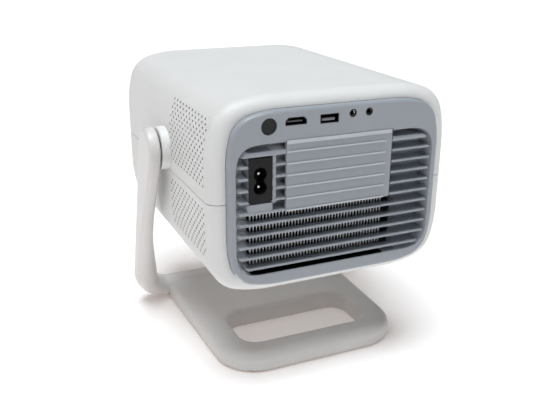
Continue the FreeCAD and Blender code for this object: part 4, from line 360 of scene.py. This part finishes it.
def shaded_hole_wall():
    """Darker grey on the walls of the perforation's holes: painted shade inside the holes."""
    wall = Finish("shaded_hole_wall", srgb(156, 152, 147)).mottle(3 * MM, spread=0.1)
    return wall.vary(2 * MM, low=0.6, high=0.8).grain(0.3 * MM, height=0.01 * MM)


def grey(name, edge):
    """Grey of the front and rear mouldings, without its gloss and grain."""
    return Finish(name, PANEL_GREY).edges(edge, PANEL_WEAR).mottle(MOULD_DRIFT, MOULD_SPREAD)


def satin(panel):
    """Adds the gloss and grain of the grey mouldings."""
    return panel.vary(8 * MM, PANEL_LOW, PANEL_HIGH).grain(0.4 * MM, height=0.008 * MM)


def grey_panel():
    """Satin grey of the front panel and small mouldings."""
    return satin(grey("grey_panel", PANEL_EDGE))


def rear_grey():
    """Satin grey of the rear panel, made lighter on the floor and walls of its recess by painted light, and
    black in its lowest gap by painted shade.
    """
    low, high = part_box("rear_panel")
    comb_low, comb_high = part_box("heat_sink")
    inlet_low, inlet_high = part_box("power_inlet")
    cover_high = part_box("rear_cover_plate")[1]
    top, bottom = high.z - RECESS_TOP, low.z + RECESS_BOTTOM
    gap_top = comb_low.z - GAP_DOWN
    rear = grey("rear_grey", PANEL_EDGE)
    depth, x, z = rear.depth(high.y), rear.coordinate("X"), rear.coordinate("Z")

    def paint_light_and_shade(depths, across, up, colour):
        """Paints a colour of light or shade over what lies at a depth, across and up within a low, a high and
        a soft edge.
        """
        mask = rear.product(rear.span(depth, *depths), rear.within(x, *across), rear.within(z, *up))
        rear.tint(mask, colour)

    # painted light: the recess's floor, deep in, is made lighter, and lighter still on the left
    painted_light_backing = rear.span(depth, *BACKING_LIGHT_DEPTHS)
    rear.tint(painted_light_backing, srgb(172, 178, 188))
    rear.tint(rear.product(painted_light_backing, rear.span(x, *BACKING_LIGHT_LEFT)), srgb(214, 214, 212))
    # painted light on the recess's side wall and on the walls beside the inlet
    paint_light_and_shade(SIDE_LIGHT_DEPTHS, (inlet_high.x, high.x - RECESS_RIM, 0.3 * MM), (bottom, top, RECESS_SOFT),
              srgb(214, 218, 222))
    paint_light_and_shade(BY_INLET_LIGHT_DEPTHS, (cover_high.x, inlet_low.x, 0.5 * MM),
              (inlet_low.z - UNDER_INLET, top, RECESS_SOFT), srgb(222, 225, 228))
    # painted shade: the lowest gap, under the fins, is painted black
    paint_light_and_shade(GAP_SHADE_DEPTHS, (comb_low.x, comb_high.x + PAST_FINS, 0.5 * MM),
              (gap_top - GAP_HEIGHT, gap_top, 0.2 * MM), srgb(14, 14, 16))
    return satin(rear)


def cover_grey():
    """Satin grey of the cover plate, with a painted highlight that makes its raised ribs and bead lighter."""
    cover = grey("cover_grey", COVER_EDGE)
    depth = cover.depth(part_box("rear_cover_plate")[1].y)
    # painted highlight: the ribs and bead, standing out to the rear, are made lighter
    return satin(cover.tint(cover.span(depth, RIB_HIGHLIGHT_ROOT, RIB_HIGHLIGHT_FACE), srgb(196, 201, 207)))


def comb_aluminium():
    """Aluminium of the heat sink's fins, bright at their tips and darkened further in by painted shade."""
    comb = Finish("comb_aluminium", srgb(222, 223, 224), metallic=1.0).mottle(6 * MM, spread=0.1)
    depth = comb.depth(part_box("heat_sink")[1].y)
    # painted shade: the fins turn near black further in
    comb.tint(comb.span(depth, *COMB_SHADE_DEPTHS), srgb(34, 35, 38))
    return comb.vary(3 * MM, low=0.35, high=0.5, stretch=(1.0, 1.0, 8.0)).grain(0.25 * MM, height=0.006 * MM)


def inlet_plastic():
    """Charcoal of the power inlet, with painted light: the panel's grey on the side against the recess."""
    inlet = moulded("inlet_plastic", CHARCOAL, low=0.51, high=0.56, **DULL)
    starts, full = (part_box("power_inlet")[1].x - inset for inset in INLET_SIDE_LIGHT)
    # painted light: the side against the recess gets a lit grey in place of the charcoal
    return inlet.tint(inlet.span(inlet.coordinate("X"), starts, full), srgb(136, 141, 148))


def smoked_window():
    """Dark plastic of the remote control's window."""
    window = Finish("smoked_window", srgb(21, 22, 24), **DULL)
    return window.mottle(4 * MM, spread=0.3).vary(6 * MM, low=0.16, high=0.24)


def optical_glass():
    """Coated lens glass."""
    glass = {"Transmission Weight": 1.0, "IOR": 1.52}
    coat = {"Coat Weight": 0.6, "Coat Roughness": 0.02, "Coat Tint": srgb(150, 120, 235)}
    return Finish("optical_glass", srgb(236, 240, 248), **glass, **coat).vary(30 * MM, low=0.01, high=0.03)


def picture_glass():
    """Grooved sheets of the light box."""
    sheet = Finish("picture_glass", srgb(58, 62, 74), **{"Transmission Weight": 0.5, "IOR": 1.5})
    sheet.vary(10 * MM, low=0.06, high=0.14)
    inputs = {"Vector": sheet.place, "Scale": 1 / (1.2 * MM)}
    grooves = sheet.add("ShaderNodeTexWave", inputs, bands_direction="X").outputs["Fac"]
    return sheet.relief(grooves, height=0.01 * MM)


def circuit_board():
    """Green lacquer over tracks."""
    board = Finish("circuit_board", srgb(24, 84, 56), **{"Coat Weight": 0.5, "Coat Roughness": 0.2})
    inputs = {"Vector": board.place, "Scale": 1 / (7 * MM), "Mortar Size": 0.03, "Color1": BLACK,
              "Color2": BLACK, "Mortar": WHITE}
    tracks = board.add("ShaderNodeTexBrick", inputs).outputs["Color"]
    board.tint(board.product(tracks, 0.6), srgb(60, 138, 92))
    return board.vary(5 * MM, low=0.25, high=0.45).grain(0.5 * MM, height=0.01 * MM)


def paper_cone():
    """Pressed paper of the speakers."""
    cone = Finish("paper_cone", srgb(38, 38, 40)).mottle(3 * MM, spread=0.25)
    return cone.vary(2 * MM, low=0.75, high=0.95).grain(0.4 * MM, height=0.04 * MM, detail=5.0)


def paper(name, colour, glow, strength, drift, gloss):
    """Matt paper of the stage, with a glow of its own."""
    finish = Finish(name, colour, **{"Emission Color": glow, "Emission Strength": strength})
    return finish.mottle(drift, spread=0.004).vary(gloss, low=0.85, high=0.95)


def make_finishes():
    """The materials of all finishes by name."""
    own = (white_skin, shaded_hole_wall, grey_panel, rear_grey, cover_grey, comb_aluminium, inlet_plastic,
           smoked_window, optical_glass, picture_glass, circuit_board, paper_cone)
    made = plastics() + metals() + [make() for make in own]
    return {finish.name: finish.material for finish in made}


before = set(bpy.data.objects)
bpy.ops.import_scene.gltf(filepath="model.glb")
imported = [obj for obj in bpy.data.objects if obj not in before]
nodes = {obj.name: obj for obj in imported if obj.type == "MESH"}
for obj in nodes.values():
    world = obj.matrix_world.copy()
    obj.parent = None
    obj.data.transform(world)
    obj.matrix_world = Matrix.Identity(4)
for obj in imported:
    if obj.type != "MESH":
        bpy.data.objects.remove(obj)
cad_low, cad_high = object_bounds()
FINISHES = make_finishes()
# nodes whose finish isn't the one that their material slot names
OWN_FINISH = {"rear_panel": "rear_grey", "rear_cover_plate": "cover_grey", "heat_sink": "comb_aluminium",
              "disc_tray": "tray_plastic", "power_inlet": "inlet_plastic", "inlet_pins": "nickel"}


def dress_nodes():
    """Gives every CAD node its own finish, or else the one named by its material slot."""
    for name, node in nodes.items():
        slot_name = node.data.materials[0].name.split(".")[0]  # without the number that Blender may add
        finish = OWN_FINISH.get(name, slot_name)
        for slot in node.material_slots:
            slot.link = "OBJECT"
            slot.material = FINISHES[finish]


# ---------------------------------------------------------------- meshes and objects
def add_object(name, data):
    """A new object in the scene."""
    thing = bpy.data.objects.new(name, data)
    bpy.context.scene.collection.objects.link(thing)
    return thing


def piece(name, verts, faces, body, finish, slot, smooth_angle=SMOOTH_ANGLE):
    """A mesh that rides on a body, shaded smooth up to an angle."""
    mesh = bpy.data.meshes.new(name)
    mesh.from_pydata([tuple(v) for v in verts], [], faces)
    work = bmesh.new()
    work.from_mesh(mesh)
    bmesh.ops.recalc_face_normals(work, faces=work.faces)
    work.to_mesh(mesh)
    work.free()
    mesh.polygons.foreach_set("use_smooth", [True] * len(mesh.polygons))
    mesh.set_sharp_from_angle(angle=smooth_angle)
    mesh.materials.append(FINISHES[finish])
    thing = add_object(name, mesh)
    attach(thing, body)
    return thing


def weld(mesh):
    """Makes one vertex of those that lie in one place."""
    work = bmesh.new()
    work.from_mesh(mesh)
    bmesh.ops.remove_doubles(work, verts=work.verts, dist=WELD)
    bmesh.ops.dissolve_degenerate(work, edges=work.edges, dist=WELD)
    work.to_mesh(mesh)
    work.free()


def shifted(faces, count):
    """Faces whose vertices' numbers start later."""
    return [tuple(i + count for i in face) for face in faces]


def merge(parts):
    """Several (vertices, faces) as one."""
    verts, faces = [], []
    for new_verts, new_faces in parts:
        faces += shifted(new_faces, len(verts))
        verts += new_verts
    return verts, faces


def ribbon(points, width, thickness, across):
    """Bent strip through points, of a width along one axis: vertices and faces."""
    across = Vector(across)
    last = len(points) - 1
    verts, faces = [], []
    for i, point in enumerate(points):
        run = (Vector(points[min(i + 1, last)]) - Vector(points[max(i - 1, 0)])).normalized()
        up = run.cross(across).normalized()
        for w, t in ((-1, -1), (1, -1), (1, 1), (-1, 1)):
            verts.append(Vector(point) + across * (w * width / 2) + up * (t * thickness / 2))
    for i in range(last):
        for k in range(4):
            a, b = 4 * i + k, 4 * i + (k + 1) % 4
            faces.append((a, b, b + 4, a + 4))
    faces += [(0, 3, 2, 1), (4 * last, 4 * last + 1, 4 * last + 2, 4 * last + 3)]
    return verts, faces


def lathe(profile, centre, axis, sides):
    """Ring turned from a closed (radius, along) profile about an axis through a centre."""
    turn = Vector(axis).to_track_quat("Z", "Y").to_matrix()
    verts, faces = [], []
    n = len(profile)
    for k in range(sides):
        angle = 2 * math.pi * k / sides
        for radius, along in profile:
            spoke = Vector((radius * math.cos(angle), radius * math.sin(angle), along))
            verts.append(Vector(centre) + turn @ spoke)
    for k in range(sides):
        for i in range(n):
            a, b = k * n + i, k * n + (i + 1) % n
            c, d = ((k + 1) % sides) * n + (i + 1) % n, ((k + 1) % sides) * n + i
            faces.append((a, b, c, d))
    return verts, faces


def extruded(outline, start, end, axis):
    """A closed outline of two coordinates drawn out along the third axis: vertices and faces."""
    verts = []
    for along in (start, end):
        for point in outline:
            place = list(point)
            place.insert(axis, along)
            verts.append(Vector(place))
    n = len(outline)
    faces = [(i, (i + 1) % n, n + (i + 1) % n, n + i) for i in range(n)]
    return verts, faces + [tuple(reversed(range(n))), tuple(range(n, 2 * n))]


# ---------------------------------------------------------------- perforated sides
def islands(mesh):
    """The separate solids of a mesh, each as a list of its vertices' places."""
    root = list(range(len(mesh.vertices)))

    def find(i):
        """The vertex that stands for a solid, from any vertex of it."""
        while root[i] != i:
            root[i] = root[root[i]]
            i = root[i]
        return i

    first = {}
    for vertex in mesh.vertices:
        spot = tuple(round(c / WELD) for c in vertex.co)
        root[vertex.index] = first.setdefault(spot, vertex.index)
    for edge in mesh.edges:
        a, b = (find(i) for i in edge.vertices)
        root[a] = b
    groups = {}
    for vertex in mesh.vertices:
        groups.setdefault(find(vertex.index), []).append(vertex.co)
    return list(groups.values())


def section_line(mesh, side, y, low_z, high_z):
    """The outside of a curved wall in a plane across the case: (x, height) from bottom to top."""
    tree = BVHTree.FromPolygons([v.co for v in mesh.vertices], [p.vertices for p in mesh.polygons])
    line = []
    for i in range(SECTION_STEPS + 1):
        z = low_z + SECTION_INSET + (high_z - low_z - 2 * SECTION_INSET) * i / SECTION_STEPS
        hit = tree.ray_cast(Vector((side, y, z)), Vector((-side, 0, 0)))[0]  # from a metre outside
        if hit:
            line.append(Vector((hit.x, z)))
    over = SKIN_OVER + SECTION_INSET
    first = line[0] + (line[0] - line[1]).normalized() * over
    last = line[-1] + (line[-1] - line[-2]).normalized() * over
    return [first] + line + [last]


def along_line(line, lengths, distance):
    """Point and inward direction on the section at a distance along it."""
    last = len(line) - 1
    k = max(1, next((i for i, length in enumerate(lengths) if length >= distance), last))
    share = (distance - lengths[k - 1]) / max(lengths[k] - lengths[k - 1], TINY)
    point = line[k - 1].lerp(line[k], min(1.0, max(0.0, share)))
    run = (line[min(last, k + 1)] - line[max(0, k - 2)]).normalized()
    inward = Vector((-run.y, run.x))
    if inward.x * line[k - 1].x > 0:
        inward = -inward
    return point, inward


def hole_centres(width, length, upper):
    """Staggered columns of hole centres that fit in a field and keep clear of its outer rear corner."""
    columns = int((width - 2 * FIELD_MARGIN) / COLUMN_STEP)
    rows = int((length - 2 * FIELD_MARGIN) / HOLE_STEP * 2)
    start_x = (width - columns * COLUMN_STEP) / 2
    start_y = (length - rows * HOLE_STEP / 2) / 2
    corner = Vector((width - CORNER_CLEAR, length - CORNER_CLEAR if upper else CORNER_CLEAR))
    centres = []
    for i in range(columns + 1):
        for j in range(i % 2, rows + 1, 2):
            centre = Vector((start_x + i * COLUMN_STEP, start_y + j * HOLE_STEP / 2))
            out = centre - corner
            in_corner = out.x > 0 and (out.y > 0) == upper
            if not in_corner or out.length <= CORNER_CLEAR - FIELD_MARGIN:
                centres.append(centre)
    return centres


def field_outline(width, length):
    """Rounded rectangle round a field, as closely spaced points."""
    far_x, far_y = width - FIELD_CORNER, length - FIELD_CORNER
    corners = ((far_x, far_y), (FIELD_CORNER, far_y), (FIELD_CORNER, FIELD_CORNER), (far_x, FIELD_CORNER))
    points = []
    for quarter, (x, y) in enumerate(corners):
        for step in range(CORNER_STEPS + 1):
            angle = (quarter + step / CORNER_STEPS) * math.pi / 2
            points.append(Vector((x + FIELD_CORNER * math.cos(angle), y + FIELD_CORNER * math.sin(angle))))
    dense = []
    for a, b in zip(points, points[1:] + points[:1]):
        parts = max(1, round((b - a).length / OUTLINE_STEP))
        dense += [a.lerp(b, i / parts) for i in range(parts)]
    return dense


def flat_field(width, length, centres):
    """Points and triangles of a rounded rectangle with round holes."""
    flat = field_outline(width, length)
    rims = [(i, (i + 1) % len(flat)) for i in range(len(flat))]
    for centre in centres:
        first = len(flat)
        for k in range(HOLE_SIDES):
            angle = 2 * math.pi * k / HOLE_SIDES
            flat.append(centre + Vector((math.cos(angle), math.sin(angle))) * HOLE_RADIUS)
        rims += [(first + k, first + (k + 1) % HOLE_SIDES) for k in range(HOLE_SIDES)]
    points, _, triangles, *_ = delaunay_2d_cdt(flat, rims, [], 0, TINY)
    inside = HOLE_RADIUS * math.cos(math.pi / HOLE_SIDES)
    cells = {}
    for centre in centres:
        cells.setdefault((int(centre.x / HOLE_STEP), int(centre.y / HOLE_STEP)), []).append(centre)

    def solid_at(p):
        """Whether a point is in the rounded rectangle and in no hole."""
        cell_x, cell_y = int(p.x / HOLE_STEP), int(p.y / HOLE_STEP)
        near = [c for i in (-1, 0, 1) for j in (-1, 0, 1) for c in cells.get((cell_x + i, cell_y + j), [])]
        dx = max(FIELD_CORNER - p.x, p.x - (width - FIELD_CORNER), 0)
        dy = max(FIELD_CORNER - p.y, p.y - (length - FIELD_CORNER), 0)
        return math.hypot(dx, dy) <= FIELD_CORNER and all((p - c).length >= inside for c in near)

    return points, [t for t in triangles if solid_at((points[t[0]] + points[t[1]] + points[t[2]]) / 3)]


def perforated_field(line, low_y, high_y, upper):
    """One field: vertices, faces of the outer and inner skin, and faces of the holes' walls and rim."""
    lengths = [0.0]
    for a, b in zip(line, line[1:]):
        lengths.append(lengths[-1] + (b - a).length)
    width, length = high_y - low_y, lengths[-1]
    points, kept = flat_field(width, length, hole_centres(width, length, upper))
    middle = Vector((width / 2, length / 2))
    shrink = Vector((1 - 2 * SKIN_OVER / width, 1 - 2 * SKIN_OVER / length))

    def bent(point, inset):
        """A flat point carried to the curved wall, at a depth under its face."""
        place, inward = along_line(line, lengths, point.y)
        place = place + inward * inset
        return Vector((place.x, low_y + point.x, place.y))

    outer, inner = [], []
    for point in points:
        outer.append(bent(point, -SKIN_PROUD))
        near_rim = min(point.x, width - point.x, point.y, length - point.y) < SKIN_OVER
        inner.append(bent(middle + (point - middle) * shrink if near_rim else point, SKIN))
    total = len(points)
    faces = [tuple(t) for t in kept] + [tuple(i + total for i in reversed(t)) for t in kept]
    sides = {(a, b) for t in kept for a, b in zip(t, list(t[1:]) + [t[0]])}
    walls = [(b, a, a + total, b + total) for a, b in sorted(sides) if (b, a) not in sides]
    return outer + inner, faces, walls


def perforated_side(node_name, side):
    """Both fields of one side as one piece with real holes; the side is 1 or -1, its sign in X."""
    mesh = nodes[node_name].data
    low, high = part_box(node_name)
    y = low.y + SECTION_AT * (high.y - low.y)
    verts, faces, walls = [], [], []
    for island in islands(mesh):
        heights = [place.z for place in island]
        upper = sum(heights) / len(heights) > (low.z + high.z) / 2
        line = section_line(mesh, side, y, min(heights), max(heights))
        new_verts, new_faces, new_walls = perforated_field(line, low.y - SKIN_OVER, high.y + SKIN_OVER, upper)
        faces += shifted(new_faces, len(verts))
        walls += shifted(new_walls, len(verts))
        verts += new_verts
    name = node_name.replace("grilles", "perforated_fields")
    made = piece(name, verts, faces + walls, "projector", "white_skin", "white_case", FIELD_SMOOTH_ANGLE)
    # the walls of the holes take the darker grey of painted shade
    made.data.materials.append(FINISHES["shaded_hole_wall"])
    for polygon in made.data.polygons:
        polygon.material_index = int(polygon.index >= len(faces))
    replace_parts(made, node_name)


# ---------------------------------------------------------------- sockets
def mouth(low_x, high_x, low_z, high_z, corner):
    """Outline of a socket in X and Z, cut across its corners."""
    foot = SHELL_CORNER
    return [(low_x + foot, low_z), (high_x - foot, low_z), (high_x, low_z + foot),
            (high_x, high_z - corner), (high_x - corner, high_z), (low_x + corner, high_z),
            (low_x, high_z - corner), (low_x, low_z + foot)]


def open_box(outline, inner, rear, front, floor):
    """Sheet-metal shell with an outline in X and Z, open to the rear: vertices and faces."""
    n = len(outline)
    rings = ((outline, front), (outline, rear), (inner, rear), (inner, floor))
    verts = [Vector((x, y, z)) for ring, y in rings for x, z in ring]
    last = (len(rings) - 1) * n
    faces = []
    for first in range(0, last, n):
        faces += [(first + i, first + (i + 1) % n, first + n + (i + 1) % n, first + n + i) for i in range(n)]
    return verts, faces + [tuple(range(n)), tuple(reversed(range(last, last + n)))]


def socket_shell(node_name, height, corner):
    """Shell of a rectangular socket, on a leg that reaches down to the board."""
    low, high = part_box(node_name)
    bottom = high.z - height
    outline = mouth(low.x, high.x, bottom, high.z, corner)
    inner = mouth(low.x + SHEET_T, high.x - SHEET_T, bottom + SHEET_T, high.z - SHEET_T, corner)
    shell = open_box(outline, inner, high.y, low.y, low.y + SHELL_FLOOR)
    middle, half = (low.x + high.x) / 2, LEG_WIDTH * (high.x - low.x) / 2
    leg = [(middle - half, low.z), (middle + half, low.z), (middle + half, bottom), (middle - half, bottom)]
    parts = [shell, extruded(leg, low.y, low.y + LEG_LENGTH * (high.y - low.y), 1)]
    name = node_name.replace("socket", "shell")
    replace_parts(piece(name, *merge(parts), "projector", "socket_steel", "steel"), node_name)


def socket(node_name, height, corner, tongue_w, tongue_t, tongue_drop, pins):
    """Rectangular socket with its sheet-metal shell, plastic tongue and sprung contacts."""
    socket_shell(node_name, height, corner)
    low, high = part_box(node_name)
    middle = (low.x + high.x) / 2
    root, nose = low.y + SHELL_FLOOR, high.y - TONGUE_BACK
    face = high.z - height / 2 - tongue_drop + tongue_t / 2
    under = face - tongue_t
    side_view = [(root, under), (nose - TONGUE_LEAD, under), (nose, under + TONGUE_LEAD),
                 (nose, face - TONGUE_LEAD), (nose - TONGUE_LEAD, face), (root, face)]
    tongue = extruded(side_view, middle - tongue_w / 2, middle + tongue_w / 2, 0)
    # the tongue's light grey is a painted highlight
    piece(node_name.replace("socket", "tongue"), *tongue, "projector", "socket_tongue", "black_plastic")

    pitch = CONTACTS_ACROSS * tongue_w / pins
    parts = []
    for i in range(pins):
        x, z = middle + (i - (pins - 1) / 2) * pitch, face + CONTACT_T / 2
        points = [(x, low.y + CONTACT_START, z)] + [(x, nose - back, z + up) for back, up in CONTACT_BENDS]
        parts.append(ribbon(points, CONTACT_WIDTH * pitch, CONTACT_T, SIDEWAYS))
    piece(node_name.replace("socket", "contacts"), *merge(parts), "projector", "gold", "steel")


def jack_rings():
    """Bright contact ring inside each round socket."""
    low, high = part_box("audio_jacks")
    y, z = high.y - JACK_RING_BACK, high.z - JACK_RADIUS
    middles = (low.x + JACK_RADIUS, high.x - JACK_RADIUS)
    parts = [lathe(JACK_RING, (x, y, z), REARWARD, sides=32) for x in middles]
    piece("jack_contacts", *merge(parts), "projector", "nickel", "steel")


# ---------------------------------------------------------------- disc drive
def platter_ring():
    """Ribbed rubber ring on the turntable, on which a disc rests."""
    low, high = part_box("turntable")
    centre = Vector(((low.x + high.x) / 2, (low.y + high.y) / 2, high.z - PLATTER_DOWN))
    pitch = (PLATTER_RING_OUT - PLATTER_RING_IN) / RIBS
    profile = [(PLATTER_RING_IN, -SUNK)]
    for i in range(RIBS):
        radius = PLATTER_RING_IN + pitch * (i + 0.5)
        profile += [(radius - RIB_FOOT * pitch, RIB_LOW), (radius - RIB_TOP * pitch, RIB_HIGH),
                    (radius + RIB_TOP * pitch, RIB_HIGH), (radius + RIB_FOOT * pitch, RIB_LOW)]
    profile += [(PLATTER_RING_OUT, RIB_LOW), (PLATTER_RING_OUT, -SUNK)]
    piece("platter_ring", *lathe(profile, centre, UPWARD, sides=64), "turntable", "rubber", "rubber")


def pickup_lens():
    """Domed glass and bright holder on the pickup's lens post."""
    low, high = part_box("pickup_sled")
    centre = (0, low.y + PICKUP_LENS_BACK, high.z)
    piece("pickup_holder", *lathe(PICKUP_RING, centre, UPWARD, sides=40), "sled", "nickel", "steel")
    profile = [(0, -SUNK), (PICKUP_GLASS_RADIUS, -SUNK)]
    for i in range(DOME_STEPS + 1):
        angle = math.pi / 2 * i / DOME_STEPS
        profile.append((PICKUP_GLASS_RADIUS * math.cos(angle), PICKUP_GLASS_RISE * math.sin(angle)))
    turned = lathe(profile, centre, UPWARD, sides=40)
    weld(piece("pickup_glass", *turned, "sled", "optical_glass", "optical_glass").data)


# ---------------------------------------------------------------- light and stage
def camera():
    """Camera at the photograph's place and angle, with plain display colours."""
    back = Vector((math.sin(CAMERA_AZIMUTH) * math.cos(CAMERA_ELEVATION),
                   -math.cos(CAMERA_AZIMUTH) * math.cos(CAMERA_ELEVATION), math.sin(CAMERA_ELEVATION)))
    level = Vector(UPWARD).cross(back).normalized()
    lift = back.cross(level)
    right = level * math.cos(CAMERA_ROLL) + lift * math.sin(CAMERA_ROLL)
    up = back.cross(right)
    data = bpy.data.cameras.new("camera")
    data.sensor_width = SENSOR_WIDTH
    data.lens = CAMERA_LENS
    data.clip_start = CLIP_NEAR
    data.clip_end = CLIP_FAR
    thing = add_object("camera", data)
    thing.matrix_world = Matrix.Translation(CAMERA_PLACE) @ Matrix((right, up, back)).transposed().to_4x4()
    bpy.context.scene.camera = thing
    bpy.context.scene.view_settings.view_transform = "Standard"


def light(name, kind, power, colour, back):
    """A light whose middle ray comes from a direction."""
    data = bpy.data.lights.new(name, kind)
    data.energy = power
    data.color = colour
    thing = add_object(name, data)
    thing.rotation_mode = "QUATERNION"
    thing.rotation_quaternion = back.to_track_quat("Z", "Y")
    return thing


def lights():
    """A broad overhead light and soft rectangular fills."""
    light("overhead", "SUN", SUN_POWER, SUN_COLOUR, SUN_BACK).data.angle = SUN_WIDTH
    middle = (cad_low + cad_high) / 2
    for name, place, size, power, colour in LAMPS:
        fill = light(name, "AREA", power, colour, Vector(place) - middle)
        fill.location = place
        fill.data.shape = "RECTANGLE"
        fill.data.size, fill.data.size_y = size


def sky():
    """An even white sky."""
    world = bpy.data.worlds.new("sky")
    world.use_nodes = True
    background = world.node_tree.nodes["Background"]
    background.inputs["Color"].default_value = SKY_COLOUR
    background.inputs["Strength"].default_value = SKY_STRENGTH
    bpy.context.scene.world = world


def scenery(name, verts, faces, finish):
    """A mesh of the stage."""
    mesh = bpy.data.meshes.new(name)
    mesh.from_pydata(verts, [], faces)
    mesh.materials.append(finish.material)
    return add_object(name, mesh)


def floor():
    """Pale floor, faintly warm."""
    half = FLOOR_HALF
    corners = [(-half, -half, 0), (half, -half, 0), (half, half, 0), (-half, half, 0)]
    finish = paper("floor_paper", srgb(246, 246, 246), glow=(1.0, 0.85, 0.78, 1.0), strength=0.17,
                   drift=200 * MM, gloss=50 * MM)
    scenery("floor", corners, [(0, 1, 2, 3)], finish)


def backdrop():
    """White wall all round, far off, which is seen but casts no light."""
    n = BACKDROP_SIDES
    angles = [2 * math.pi * k / n for k in range(n)]
    verts = [(BACKDROP_RADIUS * math.cos(angle), BACKDROP_RADIUS * math.sin(angle), z)
             for z in (0.0, BACKDROP_HEIGHT) for angle in angles]
    faces = [(k, (k + 1) % n, n + (k + 1) % n, n + k) for k in range(n)]
    finish = paper("backdrop_paper", srgb(250, 250, 250), glow=(1.0, 1.0, 1.0, 1.0), strength=1.0,
                   drift=400 * MM, gloss=200 * MM)
    wall = scenery("backdrop", verts, faces, finish)
    wall.visible_diffuse = False
    wall.visible_glossy = False
    wall.visible_transmission = False
    wall.visible_shadow = False


camera()
dress_nodes()
perforated_side("left_grilles", 1)
perforated_side("right_grilles", -1)
socket("usb_socket", **USB)
socket("hdmi_socket", **HDMI)
jack_rings()
platter_ring()
pickup_lens()
lights()
sky()
floor()
backdrop()
